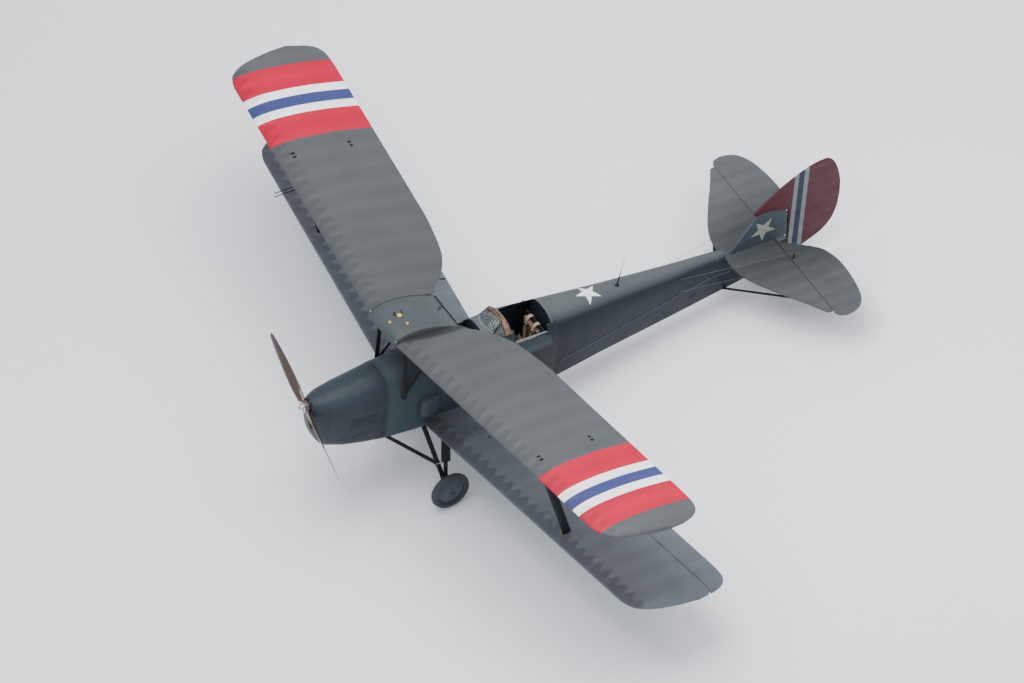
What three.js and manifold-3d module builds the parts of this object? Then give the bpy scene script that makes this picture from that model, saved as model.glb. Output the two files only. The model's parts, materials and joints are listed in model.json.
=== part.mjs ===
// A wood-and-fabric two-seat touring biplane, parked on its main wheels and tail skid.
// Millimetres. In the finished model the nose points to -Y, the port wing to +X and +Z is up.
// Every piece is written in the rigging frame: the tip of the spinner is the origin, Y runs aft
// along the thrust line and Z is up from it. The last lines turn that frame nose-up to the parked
// attitude and set the wheels and the skid on the ground.
import * as THREE from 'three';
import { mergeVertices } from 'three/addons/utils/BufferGeometryUtils.js';
import Module from 'manifold-3d';

const wasm = await Module();
wasm.setup();

// Driving dimensions
const SEAT_GAP = 0.3;
const PIN_GAP = 0.6;
const MOVING_GAP = 6;

const WHEEL_RADIUS = 253;
const WHEEL_X = 800;
const WHEEL_Y = 1720;
const WHEEL_Z = -1380;
const TYRE_RADIUS = 52;
const SKID_SOLE_Y = 6450;
const SKID_SOLE_Z = -700;

const CHORD = 1330;
const HALF_SPAN = 4590;
const WING_THICKNESS = 0.068;
const UPPER_WING = { y: 1046, z: 813, sweep: 5.70, dihedral: 3.09, incidence: 4.0, root: 306 };
const LOWER_WING = { y: 1547, z: -672, sweep: 5.93, dihedral: 4.12, incidence: 3.5, root: 305.3 };
const FRONT_SPAR = 0.145;
const REAR_SPAR = 0.6965;
const STRUT_STATION = 2860;

const AILERON_INNER = 2350;
const AILERON_OUTER = 4330;
const AILERON_HINGE = 1004;
const HINGE_RADIUS = 13;
const HINGE_WIDTH = 12;
const HINGE_WEB = 9;
const REAR_EDGE = 24;

const FIREWALL_Y = 1070;
const FUSELAGE_JOINT_Y = 3380;
const STERN_Y = 6684;
const TAIL_TOP_Z = -45;
const TAILPLANE_THICKNESS = 44;
const TAIL_HINGE_Y = 6535;
const FIN_THICKNESS = 34;

const DOOR_SILL_Z = 100;
const DOOR_TOP_Z = 232;
const DOOR_LENGTH = 450;
const DOOR_OPEN = 165;
const SKIN = 22;

const PROPELLER_RADIUS = 965;
const PROPELLER_ANGLE = -62;

// Stays run from the wing roots to the strut heads and feet, one flying and one landing wire a bay.
const STAY_RADIUS = 4;
const STAY_ROOT = 350;
const STAY_TIP = STRUT_STATION - 75;
const STAY_JOINT = 9;

// Finishes
function finish(color, roughness, metalness = 0) {
  return new THREE.MeshStandardMaterial({ color, roughness, metalness });
}
const WING_CLOTH = finish('#737a7d', 0.6);
const HULL_PAINT = finish('#3e4850', 0.42);
const COWL_PAINT = finish('#39424a', 0.35, 0.2);
const DARK_METAL = finish('#24282b', 0.45, 0.5);
const BRIGHT_METAL = finish('#b9bcc0', 0.25, 1);
const RED_CLOTH = finish('#734148', 0.55);
const RUBBER = finish('#1b1b1c', 0.85);
const LEATHER = finish('#a07d5e', 0.7);
const GLASS = finish('#dfe8ea', 0.1);
const ENGINE_METAL = finish('#6d7073', 0.5, 0.8);
const WOOD = finish('#5b4636', 0.4);

const aircraft = new THREE.Group();
const rad = THREE.MathUtils.degToRad;
const point = (x, y, z) => new THREE.Vector3(x, y, z);

// Solid helpers
function solidOf(geometry) {
  const shape = new THREE.BufferGeometry();
  shape.setAttribute('position', geometry.getAttribute('position').clone());
  if (geometry.index) shape.setIndex(geometry.index.clone());
  const merged = mergeVertices(shape, 1e-4);
  return new wasm.Manifold(new wasm.Mesh({
    numProp: 3,
    vertProperties: new Float32Array(merged.getAttribute('position').array),
    triVerts: new Uint32Array(merged.index.array),
  }));
}

function geometryOf(solid) {
  const mesh = solid.getMesh();
  const geometry = new THREE.BufferGeometry();
  geometry.setAttribute('position', new THREE.BufferAttribute(mesh.vertProperties.slice(), 3));
  geometry.setIndex(new THREE.BufferAttribute(mesh.triVerts.slice(), 1));
  return geometry;
}

function flipped(geometry) {
  const index = geometry.index.array;
  for (let i = 0; i < index.length; i += 3) {
    [index[i], index[i + 1]] = [index[i + 1], index[i]];
  }
  return geometry;
}

// Joins equal rings of points into one closed body with fanned ends. Each four-sided patch is
// split along its shorter diagonal, so that a symmetrical outline gives a symmetrical body.
function loft(rings) {
  const count = rings[0].length;
  const positions = [];
  const index = [];
  for (const ring of rings) {
    for (const p of ring) positions.push(p.x, p.y, p.z);
  }
  for (let r = 0; r + 1 < rings.length; r += 1) {
    for (let i = 0; i < count; i += 1) {
      const j = (i + 1) % count;
      const a = r * count + i;
      const b = r * count + j;
      const [ring, next] = [rings[r], rings[r + 1]];
      const shorter = ring[i].distanceTo(next[j]) <= ring[j].distanceTo(next[i]) + 1e-4;
      if (shorter) index.push(a, b, b + count, a, b + count, a + count);
      else index.push(a, b, a + count, b, b + count, a + count);
    }
  }
  for (const end of [0, rings.length - 1]) {
    const middle = new THREE.Vector3();
    for (const p of rings[end]) middle.addScaledVector(p, 1 / count);
    const centre = positions.length / 3;
    positions.push(middle.x, middle.y, middle.z);
    for (let i = 0; i < count; i += 1) {
      const a = end * count + i;
      const b = end * count + ((i + 1) % count);
      if (end === 0) index.push(centre, b, a);
      else index.push(centre, a, b);
    }
  }
  const geometry = new THREE.BufferGeometry();
  geometry.setAttribute('position', new THREE.BufferAttribute(new Float32Array(positions), 3));
  geometry.setIndex(index);
  return volumeOf(geometry) < 0 ? flipped(geometry) : geometry;
}

function volumeOf(geometry) {
  const p = geometry.getAttribute('position');
  const index = geometry.index.array;
  const [a, b, c] = [point(), point(), point()];
  let volume = 0;
  for (let i = 0; i < index.length; i += 3) {
    a.fromBufferAttribute(p, index[i]);
    b.fromBufferAttribute(p, index[i + 1]);
    c.fromBufferAttribute(p, index[i + 2]);
    volume += a.dot(b.cross(c)) / 6;
  }
  return volume;
}

function box(x0, x1, y0, y1, z0, z1) {
  const geometry = new THREE.BoxGeometry(x1 - x0, y1 - y0, z1 - z0);
  geometry.translate((x0 + x1) / 2, (y0 + y1) / 2, (z0 + z1) / 2);
  return solidOf(geometry);
}

// A round bar from a to b.
function rod(a, b, radius, sides = 16) {
  const length = a.distanceTo(b);
  const geometry = new THREE.CylinderGeometry(radius, radius, length, sides);
  const turn = new THREE.Quaternion().setFromUnitVectors(point(0, 1, 0), b.clone().sub(a).normalize());
  geometry.applyQuaternion(turn);
  geometry.translate((a.x + b.x) / 2, (a.y + b.y) / 2, (a.z + b.z) / 2);
  return solidOf(geometry);
}

// A streamlined strut from a to b, its chord lying fore and aft.
function strut(a, b, chord, thickness, endChord = chord, endThickness = thickness) {
  const along = b.clone().sub(a).normalize();
  const aft = point(0, 1, 0).addScaledVector(along, -along.y).normalize();
  const side = along.clone().cross(aft);
  const ring = (centre, c, t) => {
    const points = [];
    for (let i = 0; i < 12; i += 1) {
      const angle = (i / 12) * 2 * Math.PI;
      const u = 0.5 * c * Math.cos(angle);
      const w = 0.5 * t * Math.sin(angle) * (1 - 0.35 * Math.cos(angle));
      points.push(centre.clone().addScaledVector(aft, u).addScaledVector(side, w));
    }
    return points;
  };
  return solidOf(loft([ring(a, chord, thickness), ring(b, endChord, endThickness)]));
}

// Cuts a piece back to its neighbour, leaving the seating gap along one direction, and drops
// the offcuts beyond it.
function seated(piece, neighbour, direction) {
  const shift = direction.clone().normalize().multiplyScalar(SEAT_GAP);
  const cut = neighbour.add(neighbour.translate(shift.x, shift.y, shift.z));
  const bodies = piece.subtract(cut).decompose();
  return bodies.reduce((kept, body) => (body.volume() > kept.volume() ? body : kept));
}

const mirrored = (solid) => solid.mirror([1, 0, 0]);

function add(name, solid, material) {
  const mesh = new THREE.Mesh(geometryOf(solid), material);
  mesh.name = name;
  aircraft.add(mesh);
  return mesh;
}

function addPair(name, portSolid, material) {
  add(`${name}_port`, portSolid, material);
  add(`${name}_starboard`, mirrored(portSolid), material);
}

// Fuselage sections. Columns: y, half width at the longeron, bottom, longeron, crown,
// bottom corner radius, deck exponent (2 is an ellipse, more is boxier).
const SECTIONS = [
  [135, 100, -150, -30, 65, 80, 2.0],
  [160, 132, -300, -45, 78, 115, 2.0],
  [200, 160, -475, -60, 90, 150, 2.0],
  [270, 194, -598, -70, 105, 170, 2.1],
  [350, 220, -645, -80, 120, 170, 2.1],
  [550, 250, -675, -90, 150, 120, 2.2],
  [800, 275, -690, -100, 180, 80, 2.2],
  [1070, 295, -700, -100, 210, 40, 2.3],
  [1500, 305, -712, -100, 260, 20, 2.4],
  [2450, 305, -712, -100, 325, 20, 2.6],
  [2740, 305, -712, -100, 345, 20, 2.6],
  [3300, 305, -690, -100, 262, 20, 2.4],
  [4000, 252, -605, -90, 197, 20, 2.2],
  [5000, 168, -530, -62, 128, 20, 2.0],
  [5800, 105, -455, -45, 84, 20, 2.0],
  [6700, 32, -355, -45, 20, 8, 2.0],
];

function sectionAt(y) {
  let i = 0;
  while (i < SECTIONS.length - 2 && SECTIONS[i + 1][0] < y) i += 1;
  const [a, b] = [SECTIONS[i], SECTIONS[i + 1]];
  const t = (y - a[0]) / (b[0] - a[0]);
  const [, width, bottom, longeron, crown, corner, exponent] = a.map((v, k) => v + (b[k] - v) * t);
  return { width, bottom, longeron, crown, corner, exponent };
}

// Half width of the outer surface at a height above the longeron.
function deckHalfWidth(y, z) {
  const s = sectionAt(y);
  const rise = (z - s.longeron) / (s.crown - s.longeron);
  return s.width * (1 - rise ** s.exponent) ** (1 / s.exponent);
}

// Height of the deck at a distance from the centreline.
function deckHeight(y, x) {
  const s = sectionAt(y);
  const out = Math.abs(x) / s.width;
  return s.longeron + (s.crown - s.longeron) * (1 - out ** s.exponent) ** (1 / s.exponent);
}

const DECK_STEPS = 8;
const CORNER_STEPS = 3;

function sectionRing(y, inset = 0) {
  const s = sectionAt(y);
  const width = s.width - inset;
  const crown = s.crown - inset;
  const bottom = s.bottom + inset;
  const corner = Math.max(s.corner - inset, 4);
  const half = [];
  for (let i = 0; i <= DECK_STEPS; i += 1) {
    const angle = (1 - i / DECK_STEPS) * (Math.PI / 2);
    const x = width * Math.cos(angle) ** (2 / s.exponent);
    const z = s.longeron + (crown - s.longeron) * Math.sin(angle) ** (2 / s.exponent);
    half.push([i === 0 ? 0 : x, z]);
  }
  for (let i = 0; i <= CORNER_STEPS; i += 1) {
    const angle = (i / CORNER_STEPS) * (Math.PI / 2);
    half.push([width - corner + corner * Math.cos(angle), bottom + corner - corner * Math.sin(angle)]);
  }
  const port = half.map(([x, z]) => point(x, y, z));
  const starboard = half.slice(1).reverse().map(([x, z]) => point(-x, y, z));
  return port.concat([point(0, y, bottom)], starboard);
}

function hull(y0, y1, inset = 0) {
  const stations = [y0, ...SECTIONS.map((s) => s[0]).filter((y) => y > y0 + 1 && y < y1 - 1), y1];
  return solidOf(loft(stations.map((y) => sectionRing(y, inset))));
}

// Extrudes an outline given in X and Z along Y.
function prismAlongY(outline, y0, y1) {
  return solidOf(loft([y0, y1].map((y) => outline.map(([x, z]) => point(x, y, z)))));
}

// Cowling: a shell open at the firewall, with a shaft hole, an air intake and an outlet below.
const COWL_WALL = 9;
const SHAFT_HOLE = 62;
const COWL_FRONT = SECTIONS[0][0];
const COWL_INSIDE = SECTIONS[1][0] + 14;
const shaftHole = rod(point(0, 100, 0), point(0, 400, 0), SHAFT_HOLE, 24);
const airIntake = box(30, 105, 100, 330, -320, -150);
const airOutlet = box(-120, 120, 900, 1010, -740, -640);
let cowling = hull(COWL_FRONT, FIREWALL_Y).subtract(hull(COWL_INSIDE, FIREWALL_Y + 40, COWL_WALL));
cowling = cowling.subtract(shaftHole).subtract(airIntake).subtract(airOutlet);
add('cowling', cowling, COWL_PAINT);

// Engine: one plain block with its bearers carried on the firewall.
const ENGINE = { x: 105, y0: 330, y1: FIREWALL_Y - 110, z0: -560, z1: 60, noseY: 250, noseRadius: 48 };
const BEARER = { x: 80, half: 20, z0: -160, z1: -110 };
let engine = box(-ENGINE.x, ENGINE.x, ENGINE.y0, ENGINE.y1, ENGINE.z0, ENGINE.z1);
for (const side of [-1, 1]) {
  const [inner, outer] = [side * BEARER.x - BEARER.half, side * BEARER.x + BEARER.half];
  engine = engine.add(box(inner, outer, ENGINE.y1 - 20, FIREWALL_Y - SEAT_GAP, BEARER.z0, BEARER.z1));
}
engine = engine.add(rod(point(0, ENGINE.noseY, 0), point(0, ENGINE.y0 + 10, 0), ENGINE.noseRadius, 20));
add('engine', engine, ENGINE_METAL);

// Fuselage front with two open cockpits. Columns: name, front, rear, door front.
const COCKPITS = [
  ['front', 1830, 2410, 1905],
  ['rear', 2730, 3300, 2790],
];
const COCKPIT_FLOOR = -672;
const COCKPIT_HALF = 205;
const TUB = [
  [-278, COCKPIT_FLOOR], [278, COCKPIT_FLOOR], [278, 0], [262, 90], [COCKPIT_HALF, 225],
  [COCKPIT_HALF, 500], [-COCKPIT_HALF, 500], [-COCKPIT_HALF, 225], [-262, 90], [-278, 0],
];
const HINGE_OFFSET = 11;
const DOOR_KNUCKLE = 5;
const DOOR_SPAN_Y = 1500;
const FAR_ABOVE = 500;
const FAR_OUT = 400;
const KNUCKLE = { middle: 60, end: 170, reach: 40, overhang: 2 };
let fuselageFront = hull(FIREWALL_Y + SEAT_GAP, FUSELAGE_JOINT_Y);
const withinSkin = hull(DOOR_SPAN_Y - 20, FUSELAGE_JOINT_Y + 20, SKIN);
const skinShell = hull(DOOR_SPAN_Y, FUSELAGE_JOINT_Y).subtract(withinSkin);
const hullInside = hull(DOOR_SPAN_Y, FUSELAGE_JOINT_Y, 3);
for (const [, y0, y1] of COCKPITS) fuselageFront = fuselageFront.subtract(prismAlongY(TUB, y0, y1));
const doors = [];
for (const [place, , , doorY] of COCKPITS) {
  const y1 = doorY + DOOR_LENGTH;
  const middle = (doorY + y1) / 2;
  const hingeX = deckHalfWidth(middle, DOOR_SILL_Z) + HINGE_OFFSET;
  const axis = (y) => point(hingeX, y, DOOR_SILL_Z);
  const opening = box(150, FAR_OUT, doorY, y1, DOOR_SILL_Z, FAR_ABOVE);
  const leaf = box(
    COCKPIT_HALF, FAR_OUT, doorY + MOVING_GAP, y1 - MOVING_GAP, DOOR_SILL_Z + MOVING_GAP, DOOR_TOP_Z,
  );
  let door = skinShell.intersect(leaf);
  const [webInner, webOuter] = [hingeX - KNUCKLE.reach, hingeX + KNUCKLE.overhang];
  for (const side of [-1, 1]) {
    const a = middle + side * (KNUCKLE.middle + PIN_GAP);
    const b = middle + side * KNUCKLE.end;
    const web = box(webInner, webOuter, Math.min(a, b), Math.max(a, b), DOOR_SILL_Z + 1, DOOR_SILL_Z + 12);
    door = door.add(rod(axis(a), axis(b), DOOR_KNUCKLE, 12)).add(web.subtract(hullInside));
  }
  const [low, high] = [middle - KNUCKLE.middle, middle + KNUCKLE.middle];
  const knuckle = rod(axis(low), axis(high), DOOR_KNUCKLE, 12)
    .add(box(webInner, webOuter, low, high, DOOR_SILL_Z - 9, DOOR_SILL_Z - 1));
  const fixed = knuckle.subtract(prismAlongY(TUB, DOOR_SPAN_Y, FUSELAGE_JOINT_Y));
  fuselageFront = fuselageFront.subtract(opening).subtract(mirrored(opening)).add(fixed).add(mirrored(fixed));
  doors.push({ place, door, hingeX });
}
add('fuselage_front', fuselageFront, HULL_PAINT);

for (const { place, door, hingeX } of doors) {
  for (const side of ['port', 'starboard']) {
    let shown = side === 'port' ? door : mirrored(door);
    if (place === 'rear' && side === 'port') {
      const folded = shown.translate(-hingeX, 0, -DOOR_SILL_Z).rotate(0, DOOR_OPEN, 0);
      shown = folded.translate(hingeX, 0, DOOR_SILL_Z);
    }
    add(`door_${place}_${side}`, shown, HULL_PAINT);
  }
}

// Fuselage rear: decked over, flat on top where the tailplane lies, closed at the sternpost.
const DECK_END_Y = 5800;
let fuselageRear = hull(FUSELAGE_JOINT_Y + SEAT_GAP, STERN_Y);
fuselageRear = fuselageRear.subtract(box(-300, 300, DECK_END_Y, STERN_Y + 10, TAIL_TOP_Z, FAR_ABOVE));

// Wings. The section is thin with a flat underside. Columns: chord fraction, upper, lower.
const AEROFOIL = [
  [0, 0, 0], [0.015, 0.24, -0.13], [0.05, 0.47, -0.17], [0.12, 0.75, -0.15], [0.25, 0.96, -0.08],
  [0.4, 1.0, -0.04], [0.6, 0.86, -0.02], [0.8, 0.52, 0], [0.93, 0.22, 0.01], [1, 0.05, 0],
];
// Outline of the port half. Columns: station, leading edge, trailing edge.
const TIP = [
  [4100, 0, 1330], [4290, 45, 1322], [4390, 138, 1302], [4450, 238, 1272], [4500, 375, 1225],
  [4545, 560, 1150], [HALF_SPAN, 800, 980],
];
const UPPER_OUTLINE = [
  [150, 0, 850], [400, 0, 935], [560, 0, 1065], [730, 0, 1150], [960, 0, 1250], [1250, 0, 1300],
  [1650, 0, CHORD], [STRUT_STATION, 0, CHORD], ...TIP,
];
const LOWER_OUTLINE = [[150, 0, CHORD], [STRUT_STATION, 0, CHORD], ...TIP];

// Local wing axes: station outboard, chord aft, thickness up.
function wingPlace(wing, station, chord, height = 0) {
  const p = point(station, chord, height);
  p.applyEuler(new THREE.Euler(-rad(wing.incidence), -rad(wing.dihedral), rad(wing.sweep), 'ZYX'));
  return p.add(point(0, wing.y, wing.z));
}

function wingRing(wing, [station, leading, trailing]) {
  const chord = trailing - leading;
  const height = CHORD * WING_THICKNESS * Math.min(1, 0.12 + 0.88 * (chord / CHORD) ** 0.8);
  const upper = AEROFOIL.map(([f, high]) => wingPlace(wing, station, leading + f * chord, high * height));
  const lower = AEROFOIL.slice(1)
    .map(([f, , low]) => wingPlace(wing, station, leading + f * chord, low * height));
  return upper.concat(lower.reverse());
}

function wingSolid(wing, outline) {
  const solid = solidOf(loft(outline.map((row) => wingRing(wing, row))));
  return solid.subtract(box(-2000, wing.root, 0, 5000, -2000, 2000));
}

// A block in local wing axes.
function wingBlock(wing, s0, s1, c0, c1, h0, h1) {
  const ring = (s) => [[c0, h0], [c1, h0], [c1, h1], [c0, h1]].map(([c, h]) => wingPlace(wing, s, c, h));
  return solidOf(loft([ring(s0), ring(s1)]));
}

// The web of a hinge lug, from its centre towards the fixed piece.
function lugWeb(centre, half, forward, reach) {
  const across = half.clone().cross(forward).setLength(HINGE_WEB);
  const ring = (p) => [[0, -1], [reach, -1], [reach, 1], [0, 1]]
    .map(([r, h]) => p.clone().addScaledVector(forward, r).addScaledVector(across, h));
  return solidOf(loft([ring(centre.clone().sub(half)), ring(centre.clone().add(half))]));
}

// Hinges: lugs on the fixed piece reach to the axis, in pockets cut from the moving piece.
function hinged(fixed, moving, stations, forward, reach) {
  let [still, swings] = [fixed, moving];
  for (const [centre, along] of stations) {
    const half = along.clone().normalize().multiplyScalar(HINGE_WIDTH / 2);
    const lug = rod(centre.clone().sub(half), centre.clone().add(half), HINGE_RADIUS, 20);
    const clear = half.clone().setLength(HINGE_WIDTH / 2 + PIN_GAP);
    const pocket = rod(centre.clone().sub(clear), centre.clone().add(clear), HINGE_RADIUS + MOVING_GAP, 20);
    swings = swings.subtract(pocket);
    still = still.add(lug).add(lugWeb(centre, half, forward, reach));
  }
  return [still, swings];
}

const upperWing = wingSolid(UPPER_WING, UPPER_OUTLINE);
let lowerWing = wingSolid(LOWER_WING, LOWER_OUTLINE);

// Aileron: the part of the lower wing behind its hinge line.
const NOSE = 14;
const HINGE_HEIGHT = 24;
const BEYOND_TIP = HALF_SPAN + 140;
const aileronBlock = (inner, front) => wingBlock(LOWER_WING, inner, BEYOND_TIP, front, 1500, -200, 200);
const aileronCut = aileronBlock(AILERON_INNER, AILERON_HINGE - NOSE - MOVING_GAP);
const aileronBody = aileronBlock(AILERON_INNER + MOVING_GAP, AILERON_HINGE);
const hingeLine = (s) => wingPlace(LOWER_WING, s, AILERON_HINGE, HINGE_HEIGHT);
const noseRod = rod(hingeLine(AILERON_INNER + MOVING_GAP), hingeLine(HALF_SPAN - 90), NOSE, 20);
let aileron = lowerWing.intersect(aileronBody).add(noseRod.intersect(lowerWing));
lowerWing = lowerWing.subtract(aileronCut);
const along = hingeLine(AILERON_OUTER).sub(hingeLine(AILERON_INNER));
const aileronStations = [2600, 3350, 4150].map((s) => [hingeLine(s), along]);
const wingForward = wingPlace(LOWER_WING, 0, 0).sub(wingPlace(LOWER_WING, 0, 1));
[lowerWing, aileron] = hinged(lowerWing, aileron, aileronStations, wingForward, 40);
// Picketing lug under the wing beside the front strut, with a flat sole.
const PICKET = {
  inner: STRUT_STATION - 130, outer: STRUT_STATION - 90, chord: FRONT_SPAR * CHORD, sole: -42,
};
lowerWing = lowerWing.add(
  wingBlock(LOWER_WING, PICKET.inner, PICKET.outer, PICKET.chord - 25, PICKET.chord + 25, PICKET.sole, 10),
);
addPair('upper_wing', upperWing, WING_CLOTH);
addPair('lower_wing', lowerWing, WING_CLOTH);
addPair('aileron', aileron, WING_CLOTH);

// Fuel tank: the centre section of the upper wing, bulging above the wing roots.
// Columns: chord fraction, upper, lower.
const TANK = { front: 1056, rear: 1985, half: 300, z: 815 };
const TANK_PROFILE = [
  [0, 0, 0], [0.02, 42, -30], [0.08, 88, -38], [0.2, 128, -40], [0.38, 142, -42],
  [0.6, 116, -44], [0.82, 58, -46], [0.95, 10, -48], [1, -22, -46],
];
function tankRing(x, swell) {
  const length = TANK.rear - TANK.front;
  const slope = -Math.tan(rad(UPPER_WING.incidence));
  const place = (f, h) => point(x, TANK.front + f * length, TANK.z + f * length * slope + h);
  const upper = TANK_PROFILE.map(([f, high]) => place(f, high * swell));
  return upper.concat(TANK_PROFILE.slice(1).map(([f, , low]) => place(f, low)).reverse());
}
const tank = solidOf(loft([-TANK.half, 0, TANK.half].map((x) => tankRing(x, x === 0 ? 1.06 : 1))));
add('fuel_tank', tank, COWL_PAINT);

// Interplane struts, cut to the wing surfaces at both ends.
const up = point(0, 0, 1);
const down = point(0, 0, -1);
const ahead = point(0, -1, 0);
const SPARS = [['front', FRONT_SPAR * CHORD], ['rear', REAR_SPAR * CHORD]];
const INTERPLANE = { chord: 108, thickness: 34 };
const inUpper = (station, chord) => wingPlace(UPPER_WING, station, chord, 40);
const inLower = (station, chord) => wingPlace(LOWER_WING, station, chord, 30);
const betweenWings = (piece) => seated(seated(piece, upperWing, down), lowerWing, up);
const interplane = SPARS.map(([, chord]) => {
  const [foot, head] = [inLower(STRUT_STATION, chord), inUpper(STRUT_STATION, chord)];
  return betweenWings(strut(foot, head, INTERPLANE.chord, INTERPLANE.thickness));
});
SPARS.forEach(([place], i) => addPair(`interplane_strut_${place}`, interplane[i], DARK_METAL));

// Main stays: the flying and the landing wire of a bay cross, and a joint holds them there.
function nearest(a, b, c, d) {
  const [u, v, w] = [b.clone().sub(a), d.clone().sub(c), a.clone().sub(c)];
  const [uu, uv, vv, uw, vw] = [u.dot(u), u.dot(v), v.dot(v), u.dot(w), v.dot(w)];
  const span = uu * vv - uv * uv;
  const onFirst = a.clone().addScaledVector(u, (uv * vw - vv * uw) / span);
  const onSecond = c.clone().addScaledVector(v, (uu * vw - uv * uw) / span);
  return [onFirst, onSecond];
}

const rootStation = (wing, chord) => STAY_ROOT + chord * Math.sin(rad(wing.sweep));
for (const [place, chord] of SPARS) {
  const flying = [inLower(rootStation(LOWER_WING, chord), chord), inUpper(STAY_TIP, chord)];
  const landing = [inUpper(rootStation(UPPER_WING, chord), chord), inLower(STAY_TIP, chord)];
  const [p, q] = nearest(...flying, ...landing);
  const past = point(0, 2 * STAY_JOINT, 0);
  let stays = rod(...flying, STAY_RADIUS, 8).add(rod(...landing, STAY_RADIUS, 8));
  stays = stays.add(rod(p.clone().sub(past), q.clone().add(past), STAY_JOINT, 10));
  addPair(`stays_${place}`, betweenWings(stays), BRIGHT_METAL);
}

// Pressure tubes of the airspeed indicator, ahead of the starboard front strut.
const TUBES = { along: 0.637, reach: 410, spread: 30, radius: 6, bracket: 8, chord: 54 };
const strutPoint = inLower(STRUT_STATION, SPARS[0][1]).lerp(inUpper(STRUT_STATION, SPARS[0][1]), TUBES.along);
let tubes = box(-TUBES.bracket, TUBES.bracket, -2 * TUBES.chord, 0, -TUBES.spread - 8, TUBES.spread + 8);
for (const z of [-TUBES.spread, TUBES.spread]) {
  tubes = tubes.add(rod(point(0, -TUBES.reach, z), point(0, -TUBES.chord, z), TUBES.radius, 10));
}
tubes = seated(tubes.translate(strutPoint.x, strutPoint.y, strutPoint.z), interplane[0], ahead);
add('pressure_tubes', mirrored(tubes), BRIGHT_METAL);

// Cabane struts on each side: front, rear and diagonal joined into one N.
const CABANE = { x: 326, topX: 284, front: 1262, rear: 1760, frontTopY: 1232, rearTopY: 1800 };
// Columns: foot y, foot z, top y, top z, chord, thickness.
const CABANE_STRUTS = [
  [CABANE.front, -70, CABANE.frontTopY, 840, 62, 24],
  [CABANE.rear, -70, CABANE.rearTopY, 800, 62, 24],
  [CABANE.front, -40, CABANE.rearTopY, 735, 44, 20],
];
const cabaneStruts = CABANE_STRUTS.map(([footY, footZ, topY, topZ, chord, thickness]) => (
  strut(point(CABANE.x, footY, footZ), point(CABANE.topX, topY, topZ), chord, thickness)
));
let cabane = wasm.Manifold.union(cabaneStruts);
for (const y of [CABANE.front, CABANE.rear]) {
  cabane = cabane.add(box(280, CABANE.x + 9, y - 24, y + 24, -98, -50));
}
cabane = seated(seated(cabane, tank, down), fuselageFront, point(1, 0, 0));
addPair('cabane', cabane, DARK_METAL);

// Tail surfaces, flat plates with rounded edges, drawn in X and Y.
function plate(outline, thickness, z, edge = 9) {
  const shape = new THREE.Shape(outline.map(([x, y]) => new THREE.Vector2(x, y)));
  const geometry = new THREE.ExtrudeGeometry(shape, {
    depth: thickness - 2 * edge, bevelEnabled: true, bevelThickness: edge, bevelSize: edge,
    bevelOffset: -edge, bevelSegments: 2, curveSegments: 8,
  });
  geometry.translate(0, 0, z - thickness / 2 + edge);
  return solidOf(geometry);
}

// Spreads an outline over both sides of the centreline.
const bothSides = (half) => half.concat(half.slice().reverse().map(([x, y]) => [-x, y]));

const tailZ = TAIL_TOP_Z + SEAT_GAP + TAILPLANE_THICKNESS / 2;
const TAILPLANE_HALF = [
  [60, 5815], [250, 5825], [386, 5862], [560, 5945], [730, 6048], [900, 6160], [1037, 6258],
  [1200, 6365], [1345, 6455], [1352, TAIL_HINGE_Y - REAR_EDGE],
];
let tailplane = plate(bothSides(TAILPLANE_HALF), TAILPLANE_THICKNESS, tailZ);

const ELEVATOR_HALF = [
  [62, TAIL_HINGE_Y - 12], [1395, TAIL_HINGE_Y - 12], [1452, 6560], [1478, 6650], [1462, 6760],
  [1410, 6860], [1310, 6935], [1160, 6985], [957, 7018], [760, 7030], [600, 7018], [411, 6954],
  [300, 6850], [232, 6753], [90, 6560],
];
let elevators = plate(ELEVATOR_HALF, 30, tailZ, 7);
elevators = elevators.add(mirrored(elevators));
elevators = elevators.add(rod(point(-110, TAIL_HINGE_Y, tailZ), point(110, TAIL_HINGE_Y, tailZ), 13, 16));
const tailStations = [-1150, -650, -240, 240, 650, 1150]
  .map((x) => [point(x, TAIL_HINGE_Y, tailZ), point(1, 0, 0)]);
[tailplane, elevators] = hinged(tailplane, elevators, tailStations, point(0, -1, 0), 34);
add('tailplane', tailplane, WING_CLOTH);
add('elevators', elevators, WING_CLOTH);

// Fin and rudder, drawn in Y and Z and stood upright on the centreline.
function uprightPlate(outline, thickness, edge = 8) {
  const flat = geometryOf(plate(outline, thickness, 0, edge));
  flat.applyMatrix4(new THREE.Matrix4().makeBasis(point(0, 1, 0), point(0, 0, 1), point(1, 0, 0)));
  return solidOf(flat);
}
const finBase = TAIL_TOP_Z + TAILPLANE_THICKNESS + 2 * SEAT_GAP;
const RUDDER_AXIS = [point(0, 6728, -290), point(0, 6684, 377)];
const axisAt = (z) => {
  const [a, b] = RUDDER_AXIS;
  return a.clone().lerp(b, (z - a.z) / (b.z - a.z));
};
const FIN_OUTLINE = [
  [5890, finBase], [5985, 118], [6078, 245], [6154, 345], [6218, 428], [6300, 452], [6420, 446],
  [axisAt(388).y - REAR_EDGE, 388], [axisAt(finBase).y - REAR_EDGE, finBase],
];
const RUDDER_OUTLINE = [
  [6186, 492], [6204, 540], [6300, 616], [6405, 696], [6560, 808], [6715, 902], [6860, 970],
  [6990, 1012], [7090, 1028], [7170, 1022], [7230, 982], [7300, 860], [7352, 700], [7376, 560],
  [7382, 380], [7366, 190], [7322, 40], [7240, -86], [7140, -166], [7000, -236], [6890, -290],
  [axisAt(-298).y + 6, -306], [axisAt(-298).y - 10, -298], [axisAt(406).y - 10, 406], [6430, 470],
];
let fin = uprightPlate(FIN_OUTLINE, FIN_THICKNESS);
let rudder = uprightPlate(RUDDER_OUTLINE, 32);
const rudderAlong = RUDDER_AXIS[1].clone().sub(RUDDER_AXIS[0]);
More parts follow.
